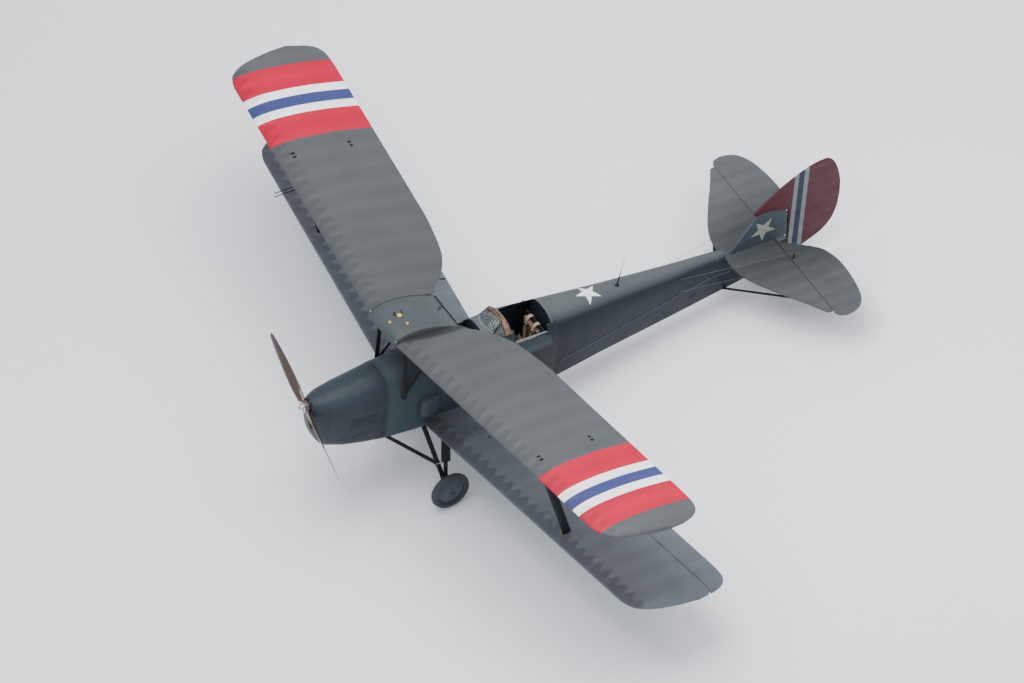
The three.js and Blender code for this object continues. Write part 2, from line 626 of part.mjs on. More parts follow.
const rudderForward = point(0, -rudderAlong.z, rudderAlong.y).normalize();
const finHinges = [330, 130].map((z) => [axisAt(z), rudderAlong]);
const sternHinges = [-110, -270].map((z) => [axisAt(z), rudderAlong]);
[fin, rudder] = hinged(fin, rudder, finHinges, rudderForward, 40);
[fuselageRear, rudder] = hinged(fuselageRear, rudder, sternHinges, rudderForward, 60);
add('fuselage_rear', fuselageRear, HULL_PAINT);
add('fin', fin, HULL_PAINT);
add('rudder', rudder, RED_CLOTH);

// Tailplane struts from the lower longerons to the tailplane spar.
let tailStrut = strut(point(92, 5815, -446), point(1000, 6278, tailZ), 44, 20);
tailStrut = seated(seated(tailStrut, tailplane, down), fuselageRear, point(1, 0, -0.2));
addPair('tailplane_strut', tailStrut, DARK_METAL);

// Tail skid: a sprung leaf under the stern with a flat shoe.
const parkedPitch = groundPitch();
function groundPitch() {
  const lift = (pitch) => {
    const wheel = -WHEEL_Y * Math.sin(pitch) + WHEEL_Z * Math.cos(pitch) - WHEEL_RADIUS;
    const sole = -SKID_SOLE_Y * Math.sin(pitch) + SKID_SOLE_Z * Math.cos(pitch);
    return wheel - sole;
  };
  let [low, high] = [0, rad(30)];
  for (let i = 0; i < 60; i += 1) {
    const middle = (low + high) / 2;
    if (lift(middle) < 0) low = middle;
    else high = middle;
  }
  return low;
}
const soleAxis = point(0, Math.cos(parkedPitch), Math.sin(parkedPitch));
const soleUp = point(0, -Math.sin(parkedPitch), Math.cos(parkedPitch));
const sole = point(0, SKID_SOLE_Y, SKID_SOLE_Z);
const solePoint = (x, a, h) => sole.clone().addScaledVector(soleAxis, a).addScaledVector(soleUp, h).setX(x);
const SHOE = [[-34, -60], [34, -60], [34, 60], [-34, 60]];
const shoeRing = (h) => SHOE.map(([x, a]) => solePoint(x, a, h));
let skid = solidOf(loft([shoeRing(0), shoeRing(16)]));
skid = skid.add(strut(point(0, 6080, -360), solePoint(0, 0, 20), 30, 46));
skid = skid.add(strut(point(0, 6520, -340), point(0, 6330, -570), 34, 26));
skid = seated(skid, fuselageRear, down);
add('tail_skid', skid, DARK_METAL);

// Landing gear, port side, mirrored for starboard.
const axleEnd = point(702, WHEEL_Y, WHEEL_Z + 6);
const axleTop = point(262, 1600, -690);
const HUB_HALF = 62;
let axle = strut(axleTop, axleEnd, 62, 32);
const onAxle = (x) => point(x, WHEEL_Y, WHEEL_Z);
axle = axle.add(rod(onAxle(690), onAxle(WHEEL_X - HUB_HALF - PIN_GAP), 30, 20));
axle = axle.add(rod(onAxle(690), onAxle(WHEEL_X + HUB_HALF + 22), 19, 20));
const legTop = point(378, 1850, -650);
const legEnd = point(692, 1722, WHEEL_Z + 30);
const legAt = (t) => legTop.clone().lerp(legEnd, t);
const legUp = legTop.clone().sub(legEnd);
let leg = strut(legTop, legAt(0.66), 128, 46).add(strut(legAt(0.6), legEnd, 54, 40));
const rodFoot = axleTop.clone().lerp(axleEnd, 0.66);
let radiusRod = strut(point(272, 1102, -684), rodFoot, 46, 24);
axle = seated(axle, fuselageFront, down);
leg = seated(seated(leg, lowerWing, down), axle, legUp);
radiusRod = seated(radiusRod, fuselageFront, down);
radiusRod = seated(radiusRod, axle, point(-0.2, -1, 0.6));
addPair('axle', axle, DARK_METAL);
addPair('compression_leg', leg, DARK_METAL);
addPair('radius_rod', radiusRod, DARK_METAL);

// Wheels: a disc-covered wheel and its tyre, turned about X.
function turned(profile, segments = 28) {
  const geometry = new THREE.LatheGeometry(profile.map(([r, h]) => new THREE.Vector2(r, h)), segments);
  geometry.rotateZ(-Math.PI / 2);
  return geometry.index && volumeOf(geometry) < 0 ? flipped(geometry) : geometry;
}
const RIM = WHEEL_RADIUS - 2 * TYRE_RADIUS + 18;
const AXLE_BORE = 22;
const wheelProfile = [
  [AXLE_BORE, -HUB_HALF], [36, -HUB_HALF], [40, -50], [RIM, -24], [RIM, 24], [40, 50], [36, HUB_HALF],
  [AXLE_BORE, HUB_HALF], [AXLE_BORE, -HUB_HALF],
];
const tyreProfile = [];
for (let i = 0; i < 10; i += 1) {
  const angle = (i / 10) * 2 * Math.PI;
  const radial = WHEEL_RADIUS - TYRE_RADIUS + TYRE_RADIUS * Math.cos(angle);
  tyreProfile.push([Math.max(radial, RIM + SEAT_GAP), TYRE_RADIUS * Math.sin(angle)]);
}
tyreProfile.push(tyreProfile[0]);
const WHEEL_PARTS = [['wheel', wheelProfile, DARK_METAL], ['tyre', tyreProfile, RUBBER]];
for (const [name, side] of [['port', 1], ['starboard', -1]]) {
  for (const [part, profile, material] of WHEEL_PARTS) {
    const mesh = new THREE.Mesh(turned(profile), material);
    mesh.name = `${part}_${name}`;
    mesh.position.set(side * WHEEL_X, WHEEL_Y, WHEEL_Z);
    aircraft.add(mesh);
  }
}

// Propeller: two twisted blades on a hub, with the crankshaft end behind it.
const PROP_Y = 92;
const HUB_RADIUS = 74;
// Columns: radius, chord, thickness, blade angle.
const BLADE = [
  [20, 58, 56, 45], [110, 92, 50, 46], [260, 128, 34, 36], [450, 138, 24, 27], [650, 124, 17, 21],
  [820, 98, 12, 18], [920, 66, 9, 16], [PROPELLER_RADIUS, 18, 5, 15],
];
function bladeRing([radius, chord, thickness, angle]) {
  const points = [];
  for (let i = 0; i < 12; i += 1) {
    const a = (i / 12) * 2 * Math.PI;
    const u = 0.5 * chord * Math.cos(a);
    const w = 0.5 * thickness * Math.sin(a);
    const t = rad(angle);
    const [x, y] = [u * Math.cos(t) - w * Math.sin(t), u * Math.sin(t) + w * Math.cos(t)];
    points.push(point(x, PROP_Y + y, radius));
  }
  return points;
}
const blade = solidOf(loft(BLADE.map(bladeRing)));
const hub = rod(point(0, 62, 0), point(0, 122, 0), HUB_RADIUS, 28);
const shaft = rod(point(0, 110, 0), point(0, ENGINE.noseY - PIN_GAP, 0), 34, 20);
const propeller = hub.add(shaft).add(blade).add(blade.rotate(0, 180, 0));
add('propeller', propeller.rotate(0, PROPELLER_ANGLE, 0), WOOD);

const SPINNER_PROFILE = [[0, 0], [14, 6], [27, 20], [37, 38], [44, 62 - SEAT_GAP], [0, 62 - SEAT_GAP]];
const spinnerShape = new THREE.LatheGeometry(SPINNER_PROFILE.map(([r, y]) => new THREE.Vector2(r, y)), 28);
const spinnerSolid = solidOf(volumeOf(spinnerShape) < 0 ? flipped(spinnerShape) : spinnerShape);
add('spinner', spinnerSolid, BRIGHT_METAL);

// Windscreens: a thin raked pane ahead of each cockpit, its sides swept back, standing on the deck.
const SCREEN = {
  footY: -255, headY: -70, sweep: 65, footHalf: 165, headHalf: 145, rise: 95, fall: 35, glass: 7,
};
const SCREEN_STEPS = 8;
function windscreen(cockpitY) {
  const headZ = sectionAt(cockpitY + SCREEN.headY).crown + SCREEN.rise;
  const rings = [];
  for (let i = 0; i <= SCREEN_STEPS; i += 1) {
    const u = (i / SCREEN_STEPS) * 2 - 1;
    const foot = point(SCREEN.footHalf * u, cockpitY + SCREEN.footY + SCREEN.sweep * u * u, 0);
    foot.z = deckHeight(foot.y, foot.x);
    const head = point(SCREEN.headHalf * u, cockpitY + SCREEN.headY, headZ - SCREEN.fall * u * u);
    const root = head.clone().lerp(foot, 1.25);
    const back = point(0, SCREEN.glass, 0);
    rings.push([root, head, head.clone().add(back), root.clone().add(back)]);
  }
  return seated(solidOf(loft(rings)), fuselageFront, up);
}

// Coaming pads: a leather roll over the front edge of each cockpit, following the deck.
const PAD = { y: -20, half: 232, width: 46, height: 13, sink: 2 };
const PAD_STEPS = 16;
function coamingPad(cockpitY) {
  const y = cockpitY + PAD.y;
  const onDeck = (x) => point(x, y, deckHeight(y, x));
  const rings = [];
  for (let i = 0; i <= PAD_STEPS; i += 1) {
    const x = PAD.half * Math.sin(((i / PAD_STEPS) * 2 - 1) * (Math.PI / 2));
    const along = onDeck(x + 1).sub(onDeck(x - 1));
    const outward = point(-along.z, 0, along.x).normalize();
    const ring = [];
    for (let k = 0; k < 12; k += 1) {
      const angle = (k / 12) * 2 * Math.PI;
      const proud = PAD.height * (1 + Math.sin(angle)) - PAD.sink;
      ring.push(onDeck(x).addScaledVector(outward, proud).add(point(0, PAD.width * Math.cos(angle), 0)));
    }
    rings.push(ring);
  }
  return seated(solidOf(loft(rings)), fuselageFront, up);
}

// Cockpit fittings. Columns: place, cockpit front, cockpit rear.
for (const [place, y0, y1] of COCKPITS) {
  const seatY = y1 - 330;
  const floor = COCKPIT_FLOOR + SEAT_GAP;
  let seat = box(-200, 200, seatY, y1 - 60, -400, -372);
  seat = seat.add(box(-200, 200, y1 - 80, y1 - 58, -400, 60));
  seat = seat.add(box(-200, -180, seatY + 20, y1 - 60, floor, -372));
  seat = seat.add(box(180, 200, seatY + 20, y1 - 60, floor, -372));
  add(`seat_${place}`, seat, LEATHER);

  const panel = box(-262, 262, y0 + SEAT_GAP, y0 + 18, -60, 80);
  add(`instrument_panel_${place}`, panel, WOOD);

  add(`windscreen_${place}`, windscreen(y0), GLASS);
  add(`coaming_pad_${place}`, coamingPad(y0), LEATHER);
}

// Oil tank on the port side below the cabane.
const OIL_TANK = { x: 318, y: 1640, z0: -480, z1: -240, chord: 260, thickness: 120 };
const oilTankEnd = (z) => point(OIL_TANK.x, OIL_TANK.y, z);
const oilTank = strut(oilTankEnd(OIL_TANK.z0), oilTankEnd(OIL_TANK.z1), OIL_TANK.chord, OIL_TANK.thickness);
add('oil_tank', seated(oilTank, fuselageFront, point(1, 0, 0)), BRIGHT_METAL);

// Parked attitude
aircraft.rotation.x = -parkedPitch;
const measured = new THREE.Group();
measured.add(aircraft);
measured.updateMatrixWorld(true);
const bounds = new THREE.Box3().setFromObject(measured, true);
const wheelDrop = -WHEEL_Y * Math.sin(parkedPitch) + WHEEL_Z * Math.cos(parkedPitch) - WHEEL_RADIUS;
aircraft.position.set(0, -(bounds.min.y + bounds.max.y) / 2, -wheelDrop);

export default measured;
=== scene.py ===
import bisect
import json
import math

import bmesh
import bpy
from mathutils import Euler, Matrix, Vector
from mathutils.bvhtree import BVHTree


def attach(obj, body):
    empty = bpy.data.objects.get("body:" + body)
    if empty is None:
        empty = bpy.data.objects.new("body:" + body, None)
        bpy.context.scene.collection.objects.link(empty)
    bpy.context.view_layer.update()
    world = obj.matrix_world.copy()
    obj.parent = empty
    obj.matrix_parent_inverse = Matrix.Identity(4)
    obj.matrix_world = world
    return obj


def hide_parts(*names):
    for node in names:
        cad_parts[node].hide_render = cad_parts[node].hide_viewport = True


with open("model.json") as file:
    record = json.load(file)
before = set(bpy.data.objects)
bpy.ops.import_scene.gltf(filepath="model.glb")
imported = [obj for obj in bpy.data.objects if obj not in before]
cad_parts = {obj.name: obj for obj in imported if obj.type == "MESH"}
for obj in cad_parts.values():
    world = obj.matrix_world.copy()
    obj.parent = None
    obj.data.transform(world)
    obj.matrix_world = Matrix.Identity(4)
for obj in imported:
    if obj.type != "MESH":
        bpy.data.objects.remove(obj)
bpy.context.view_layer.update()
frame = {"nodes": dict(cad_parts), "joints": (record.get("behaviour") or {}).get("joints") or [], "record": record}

# The parked attitude comes from the record: a door's hinge lies along the level frame's Y axis,
# and the port wheel's centre is a known point of that frame
JOINTS = {joint["name"]: joint for joint in frame["joints"]}
DOOR_AXIS = JOINTS["door_hinge_front_port"]["axis"]
PITCH = math.atan2(-DOOR_AXIS[2], DOOR_AXIS[1])
WHEEL = Vector((0.8, 1.72, -1.38))
TURN = Matrix.Rotation(-PITCH, 4, "X")
LEVEL = Matrix.Translation(Vector(JOINTS["wheel_spin_port"]["pos_m"]) - TURN @ WHEEL) @ TURN
LEVEL_INVERSE = LEVEL.inverted()
SIDES = {"port": 1, "starboard": -1}
UP = (0, 0, 1)
DOWN = (0, 0, -1)
AFT = (0, 1, 0)
PORT = (1, 0, 0)

# The body and the material slot of each CAD node
BODY_OF = {}
SLOT_OF = {}
for body, members in frame["record"]["behaviour"]["bodies"].items():
    for member in members:
        BODY_OF[member] = body
        SLOT_OF[member] = frame["nodes"][member].data.materials[0].name

# Wings. A station is a distance from the middle out along the wing.
CHORD = 1.33
THICKNESS = 0.068
UPPER = {"y": 1.046, "z": 0.813, "sweep": 5.70, "dihedral": 3.09, "incidence": 4.0, "root": 0.306,
         "spar_height": 0.040}
LOWER = {"y": 1.547, "z": -0.672, "sweep": 5.93, "dihedral": 4.12, "incidence": 3.5, "root": 0.3053,
         "spar_height": 0.030}
AILERON = {"inner": 2.350, "outer": 4.590, "hinge": 1.004, "nose": 0.013, "gap": 0.006}
FRONT_SPAR = 0.145 * CHORD
REAR_SPAR = 0.6965 * CHORD
STRUT_STATION = 2.86
RIB_PITCH = 0.314
NOSE_PITCH = RIB_PITCH / 2
CLOTH_STEP = RIB_PITCH / 16
RIB_SAG = 0.0035
NOSE_SAG = 0.0065
NOSE_END = 0.19
SKEW_END = 0.75
TIP_START = 4.28
TIP_LENGTH = 0.31

AEROFOIL = (  # share of the chord, upper and lower height as shares of the thickness
    (0, 0, 0),
    (0.015, 0.24, -0.13),
    (0.05, 0.47, -0.17),
    (0.12, 0.75, -0.15),
    (0.25, 0.96, -0.08),
    (0.4, 1, -0.04),
    (0.6, 0.86, -0.02),
    (0.8, 0.52, 0),
    (0.93, 0.22, 0.01),
    (1, 0.05, 0),
)
TIP = (  # station, leading edge, trailing edge
    (4.100, 0, 1.330),
    (4.290, 0.045, 1.322),
    (4.390, 0.138, 1.302),
    (4.450, 0.238, 1.272),
    (4.500, 0.375, 1.225),
    (4.545, 0.560, 1.150),
    (4.590, 0.800, 0.980),
)
UPPER_OUTLINE = (
    (0.150, 0, 0.850),
    (0.400, 0, 0.935),
    (0.560, 0, 1.065),
    (0.730, 0, 1.150),
    (0.960, 0, 1.250),
    (1.250, 0, 1.300),
    (1.650, 0, 1.330),
    (2.860, 0, 1.330),
) + TIP
LOWER_OUTLINE = ((0.150, 0, 1.330), (2.860, 0, 1.330)) + TIP

WING_BANDS = (  # station where each colour of the upper wing starts, root to tip
    (0, "cloth"),
    (3.074, "red"),
    (3.459, "white"),
    (3.588, "blue"),
    (3.742, "white"),
    (3.878, "red"),
    (4.242, "cloth"),
)
RUDDER_START = 6.0
RUDDER_BANDS = (  # distance aft of the rudder's start where each of its colours starts
    (0.0, "red"),
    (0.712, "white"),
    (0.772, "blue"),
    (0.846, "white"),
    (0.908, "red"),
)

# Colours, as linear red, green and blue
CLOTH = (0.062, 0.0675, 0.0705)
# The lower wings wear the upper wings' cloth, painted lighter: painted light against the upper wing's shade
CLOTH_LOW_PAINTED_LIGHT = (0.130, 0.146, 0.163)
WING_COLOURS = {
    "cloth": CLOTH,
    "red": (0.395, 0.0035, 0.029),
    "white": (0.80, 0.81, 0.80),
    "blue": (0.036, 0.044, 0.140),
}
RUDDER_COLOURS = {
    "red": (0.062, 0.012, 0.018),
    "white": (0.145, 0.165, 0.165),
    "blue": (0.014, 0.023, 0.042),
}
STEEL = (0.52, 0.52, 0.53)
WOOD = (0.030, 0.017, 0.011)
# Painted light on the hull: a paler side colour where the upper wing shades the front, and a pale colour for
# upward faces, partly sun fading and partly painted top light
HULL_FRONT_PAINTED_LIGHT = (0.043, 0.056, 0.066)
SUN_FADED_AND_TOP_LIT = (0.103, 0.115, 0.120)

PAINTS = {  # the settings of painted() for each painted finish
    "hull": {"colour": (0.0132, 0.0182, 0.0224), "rough": (0.38, 0.50), "faded_and_top_lit": 0.75, "specular": 0.14},
    "cowl": {"colour": (0.0270, 0.0350, 0.0425), "rough": (0.40, 0.52), "specular": 0.16},
    "black": {"colour": (0.016, 0.018, 0.020), "rough": (0.45, 0.60), "amount": 0.25, "specular": 0.12},
    "engine": {"colour": (0.10, 0.10, 0.10), "rough": (0.4, 0.6), "metallic": 0.6},
    "wire": {"colour": (0.115, 0.125, 0.135), "rough": (0.4, 0.55), "metallic": 0.3},
    "dull_metal": {"colour": (0.30, 0.31, 0.32), "rough": (0.35, 0.5), "metallic": 0.8, "amount": 0.2},
    "tank": {"colour": (0.050, 0.058, 0.061), "rough": (0.40, 0.52), "specular": 0.22},
    "star_white": {"colour": (0.80, 0.80, 0.76), "rough": (0.4, 0.5), "amount": 0.05},
    "star_pale": {"colour": (0.24, 0.26, 0.22), "rough": (0.4, 0.5), "amount": 0.10},
    "cap_yellow": {"colour": (0.55, 0.42, 0.10), "rough": (0.3, 0.45), "amount": 0.2},
    # The fin wears the hull's paint, painted lighter: painted light on its upright sides
    "fin_paint": {"colour": (0.045, 0.057, 0.067), "rough": (0.36, 0.5), "specular": 0.2},
    "navy": {"colour": (0.008, 0.011, 0.019), "rough": (0.35, 0.5), "specular": 0.25},
    "burnt_metal": {"colour": (0.046, 0.041, 0.038), "rough": (0.55, 0.75), "metallic": 0.6, "amount": 0.35},
    # The hull's paint made lighter: painted light against the wing's shadow on the wheel discs, also worn by the
    # cowl buttons, disc screws and axle nuts
    "disc_paint": {"colour": (0.062, 0.074, 0.088), "rough": (0.45, 0.6), "specular": 0.2},
    "canvas": {"colour": (0.28, 0.25, 0.17), "rough": (0.6, 0.8), "amount": 0.15, "bump": 0.8},
    "dial_black": {"colour": (0.010, 0.010, 0.011), "rough": (0.3, 0.4)},
    "cable": {"colour": (0.10, 0.12, 0.13), "rough": (0.4, 0.55)},
}
LEATHERS = {"tan_leather": (0.140, 0.070, 0.040), "seat_leather": (0.115, 0.060, 0.036)}
LOOKS = {}

# The finish of each material slot of the CAD, and of the nodes that differ from it
SLOT_LOOKS = {
    "cowl_paint": "cowl",
    "hull_paint": "hull",
    "strut_paint": "black",
    "bright_metal": "steel",
    "tyre": "tyre_rubber",
    "screen": "clear",
    "engine_metal": "engine",
    "wood": "propeller_wood",
}
NODE_LOOKS = {
    "fuel_tank": "tank",
    "wheel_port": "disc_paint",
    "wheel_starboard": "disc_paint",
    "oil_tank": "hull",
    "pressure_tubes": "black",
    "door_rear_port": "cowl",
    "seat_front": "black",
    "seat_rear": "black",
}


def mix(a, b, share):
    return a + (b - a) * share


def smooth_curve(points):
    """A function that runs smoothly through (x, y) points and never overshoots between them."""
    xs = [p[0] for p in points]
    ys = [p[1] for p in points]
    steps = [b - a for a, b in zip(xs, xs[1:])]
    slopes = [(b - a) / step for a, b, step in zip(ys, ys[1:], steps)]
    inner = [0 if s * t <= 0 else 2 * s * t / (s + t) for s, t in zip(slopes, slopes[1:])]
    tangents = [slopes[0]] + inner + [slopes[-1]]

    def value(x):
        i = min(max(bisect.bisect_right(xs, x) - 1, 0), len(steps) - 1)
        t = min(max((x - xs[i]) / steps[i], 0), 1)
        a = ys[i] * (1 + 2 * t) * (1 - t) ** 2 + ys[i + 1] * t * t * (3 - 2 * t)
        b = steps[i] * (tangents[i] * t * (1 - t) ** 2 - tangents[i + 1] * t * t * (1 - t))
        return a + b

    return value


def wing_place(wing, side=1):
    """Takes (station, distance aft, height) of a wing's own axes to the level frame."""
    angles = (-math.radians(wing["incidence"]), -math.radians(wing["dihedral"]), math.radians(wing["sweep"]))
    turn = Euler(angles, "XYZ").to_matrix().to_4x4()
    return Matrix.Diagonal((side, 1, 1, 1)) @ Matrix.Translation((0, wing["y"], wing["z"])) @ turn


# Shader helpers
SOCKETS = {
    "specular": "Specular IOR Level",
    "metallic": "Metallic",
    "coat": "Coat Weight",
    "transmission": "Transmission Weight",
    "ior": "IOR",
}


class Shade:
    """A principled material whose node tree is built by short calls."""

    def __init__(self, name):
        self.material = bpy.data.materials.new(name)
        self.material.use_nodes = True
        self.tree = self.material.node_tree
        self.shader = self.tree.nodes["Principled BSDF"]

    def node(self, kind, inputs=None, **settings):
        made = self.tree.nodes.new("ShaderNode" + kind)
        for key, value in settings.items():
            setattr(made, key, value)
        for key, value in (inputs or {}).items():
            self.feed(made.inputs[key], value)
        return made

    def feed(self, socket, value):
        if isinstance(value, bpy.types.NodeSocket):
            self.tree.links.new(value, socket)
        elif socket.type == "RGBA" and len(value) == 3:
            socket.default_value = (*value, 1)
        else:
            socket.default_value = value

    def math(self, operation, a, b=0.0, c=0.0):
        return self.node("Math", {0: a, 1: b, 2: c}, operation=operation).outputs[0]

    def plus(self, a, b):
        return self.math("ADD", a, b)

    def minus(self, a, b):
        return self.math("SUBTRACT", a, b)

    def times(self, value, *others):
        for other in others:
            value = self.math("MULTIPLY", value, other)
        return value

    def place(self):
        """The point in the parked frame."""
        return self.node("TexCoord").outputs["Object"]

    def into(self, point, matrix):
        """The same point as the frame of a matrix sees it."""
        location, turn, _ = matrix.decompose()
        inputs = {0: point, "Location": location, "Rotation": turn.to_euler("XYZ")}
        return self.node("Mapping", inputs, vector_type="TEXTURE").outputs[0]

    def level(self):
        return self.into(self.place(), LEVEL)

    def scaled(self, point, scale):
        return self.node("Mapping", {0: point, "Scale": scale}).outputs[0]

    def axes(self, point):
        return self.node("SeparateXYZ", {0: point}).outputs

    def noise(self, point, scale, detail=3.0, rough=0.5):
        inputs = {"Vector": point, "Scale": scale, "Detail": detail, "Roughness": rough}
        return self.node("TexNoise", inputs).outputs[0]

    def span(self, value, low, high, to_low=0.0, to_high=1.0):
        inputs = {0: value, 1: low, 2: high, 3: to_low, 4: to_high}
        return self.node("MapRange", inputs).outputs[0]

    def patchy(self, point, scale, low, high, detail=4, rough=0.5):
        """A value that wanders between two bounds."""
        return self.span(self.noise(point, scale, detail, rough), 0.3, 0.7, low, high)

    def from_rib(self, along, pitch):
        """The distance from the nearest of the ribs that stand a pitch apart."""
        bay = self.math("FRACT", self.plus(self.math("DIVIDE", along, pitch), 0.5))
        return self.times(self.math("ABSOLUTE", self.minus(bay, 0.5)), pitch)

    def mix(self, share, a, b, blend="MIX"):
        made = self.node("Mix", data_type="RGBA", blend_type=blend)
        for socket, value in ((0, share), (6, a), (7, b)):
            self.feed(made.inputs[socket], value)
        return made.outputs[2]

    def lit(self, colour, light):
        """A colour made lighter or darker by a number."""
        grey = self.node("CombineColor", {0: light, 1: light, 2: light}).outputs[0]
        return self.mix(1.0, colour, grey, "MULTIPLY")

    def bump(self, height, distance, strength, after=None):
        inputs = {"Height": height, "Distance": distance, "Strength": strength}
        if after:
            inputs["Normal"] = after
        return self.node("Bump", inputs).outputs[0]

    def bands(self, value, table, colours, reach):
        """Flat colours that change sharply at the stations of a table."""
        ramp = self.node("ValToRGB", {0: self.math("DIVIDE", value, reach)})
        ramp.color_ramp.interpolation = "CONSTANT"
        stops = ramp.color_ramp.elements
        while len(stops) < len(table):
            stops.new(1.0)
        for stop, (start, colour) in zip(stops, table):
            stop.position = start / reach
            stop.color = (*colours[colour], 1)
        return ramp.outputs[0]

    def finish(self, colour, rough, normal=None, **plain):
        self.feed(self.shader.inputs["Base Color"], colour)
        self.feed(self.shader.inputs["Roughness"], rough)
        if normal:
            self.feed(self.shader.inputs["Normal"], normal)
        for key, value in plain.items():
            self.feed(self.shader.inputs[SOCKETS[key]], value)
        return self.material


def weathered(shade, point, colour, amount, streaks=0.055):
    """A colour with broad cloudy fading, fine mottling and dark streaks drawn out by the airflow."""
    streak = shade.noise(shade.scaled(point, (1.6, 0.12, 1.6)), 9, 3, 0.6)
    light = shade.times(
        shade.patchy(point, 1.6, 1 - amount, 1 + amount, 4, 0.6),
        shade.patchy(point, 22, 0.95, 1.05, 4, 0.65),
        shade.span(streak, 0.35, 0.75, 1 + streaks / 2, 1 - streaks),
    )
    return shade.lit(colour, light)


def painted(name, colour, rough, amount=0.16, metallic=0.0, bump=0.4, faded_and_top_lit=0.0, specular=0.3):
    """Brushed and sprayed paint over metal, ply or cloth, with cloudy weather fading and streaks; on the hull also
    painted light: paler sides in the upper wing's shade and paler upward faces.
    """
    shade = Shade(name)
    point = shade.level()
    base = weathered(shade, point, colour, amount)
    worn = shade.span(shade.noise(point, 60, 5, 0.7), 0.66, 0.74)
    base = shade.mix(shade.times(worn, 0.35), base, tuple(min(1, 1.6 * c + 0.02) for c in colour))
    if faded_and_top_lit:
        # Painted light: the sides are paler near the front cockpit, where the upper wing shades them, and whatever
        # looks up is paler, partly bleached by the sun and partly painted top light
        aft = shade.axes(point)[1]
        base = shade.mix(shade.span(aft, 1.7, 3.1, 0.9, 0.0), base, HULL_FRONT_PAINTED_LIGHT)
        upward = shade.axes(shade.node("NewGeometry").outputs["Normal"])[2]
        share = shade.times(shade.span(upward, 0.55, 0.98, 0, faded_and_top_lit), shade.span(aft, 1.05, 1.7))
        base = shade.mix(share, base, SUN_FADED_AND_TOP_LIT)
    normal = shade.bump(shade.noise(point, 240, 2), 0.0004, bump)
    return shade.finish(base, shade.patchy(point, 7, *rough), normal, metallic=metallic, specular=specular)


def bare_metal(name):
    """Polished or plated metal with fine scratches and dull patches."""
    shade = Shade(name)
    point = shade.level()
    base = weathered(shade, point, STEEL, 0.10)
    scratches = shade.noise(shade.scaled(point, (1, 0.06, 1)), 300, 2, 0.6)
    normal = shade.bump(scratches, 0.0002, 0.35)
    return shade.finish(base, shade.patchy(point, 14, 0.18, 0.34), normal, metallic=1.0)


def rubber(name):
    """Black rubber, paler and rougher where dust lies."""
    shade = Shade(name)
    point = shade.level()
    dust = shade.span(shade.noise(point, 18, 5, 0.65), 0.45, 0.75)
    base = shade.mix(dust, (0.022, 0.027, 0.033), (0.040, 0.045, 0.050))
    normal = shade.bump(shade.noise(point, 420, 2), 0.0005, 0.5)
    return shade.finish(base, shade.span(dust, 0, 1, 0.62, 0.86), normal)


def leather(name, colour):
    """Creased leather: cells for the grain, broad creases, paler where it is rubbed."""
    shade = Shade(name)
    point = shade.level()
    cells = shade.node("TexVoronoi", {"Vector": point, "Scale": 420}, feature="DISTANCE_TO_EDGE")
    crease = shade.noise(point, 26, 5, 0.6)
    rubbed = shade.span(shade.noise(point, 9, 4), 0.35, 0.7)
    base = shade.mix(rubbed, colour, tuple(min(1, 1.5 * c + 0.02) for c in colour))
    base = shade.mix(shade.span(crease, 0.55, 0.42), base, tuple(0.55 * c for c in colour))
    normal = shade.bump(shade.span(cells.outputs[0], 0, 0.25), 0.0005, 0.5)
    normal = shade.bump(crease, 0.003, 0.5, normal)
    return shade.finish(base, shade.span(crease, 0.3, 0.7, 0.42, 0.62), normal)


def timber(name):
    """Varnished laminated timber: long growth rings and pores."""
    shade = Shade(name)
    point = shade.level()
    rings = shade.node("TexWave", {"Vector": point, "Scale": 22, "Distortion": 6, "Detail": 3},
                       bands_direction="Y")
    pores = shade.noise(shade.scaled(point, (0.2, 1, 0.2)), 160, 3, 0.7)
    base = shade.mix(rings.outputs[1], WOOD, tuple(2.1 * c for c in WOOD))
    base = shade.mix(shade.span(pores, 0.55, 0.75, 0, 0.5), base, tuple(0.4 * c for c in WOOD))
    normal = shade.bump(pores, 0.0003, 0.4)
    return shade.finish(base, shade.patchy(point, 11, 0.16, 0.28, 3), normal, coat=0.5)


def window(name):
    """Clear sheet with faint dust and scratches."""
    shade = Shade(name)
    point = shade.level()
    dust = shade.span(shade.noise(point, 30, 5, 0.7), 0.5, 0.8)
    base = shade.mix(dust, (0.93, 0.95, 0.95), (0.8, 0.82, 0.82))
    normal = shade.bump(shade.noise(point, 120, 2), 0.0001, 0.2)
    return shade.finish(base, shade.span(dust, 0, 1, 0.03, 0.16), normal, transmission=1.0, ior=1.2)


# Doped cloth
THREAD_WAVES = 1 / 0.0016 / 3.1416
UPPER_TEETH = (0.065, 0.130)  # how far aft the soiling and painted shade reach at the ribs, and how much further between
LOWER_TEETH = (0.105, 0.080)


def rib_tapes(shade, off, along, half_width, stitch_pitch, stitch_end):
    """The height of the pinked tapes over the ribs, with a row of stitches down their middle."""
    edge = shade.plus(off, shade.times(shade.math("PINGPONG", along, 0.004), 0.5))
    tape = shade.span(edge, half_width, half_width + 0.001, 1, 0)
    stitch = shade.span(shade.math("PINGPONG", along, stitch_pitch), 0.003, 0.006, 1, 0)
    knot = shade.times(stitch, shade.span(off, 0.003, stitch_end, 1, 0))
    return shade.plus(tape, shade.times(knot, 1.6))


def doped(shade, point, colour, light, tapes, across):
    """Finishes doped cloth: its soiling and painted shade, its tapes, its crossing threads and its dull sheen."""
    waves = [shade.node("TexWave", {"Vector": across, "Scale": THREAD_WAVES}, bands_direction=way).outputs[1]
             for way in "XY"]
    normal = shade.bump(tapes, 0.0007, 0.7)
    normal = shade.bump(shade.math("MAXIMUM", *waves), 0.0003, 0.25, normal)
    return shade.finish(shade.lit(colour, light), shade.patchy(point, 5, 0.42, 0.58), normal, specular=0.22)


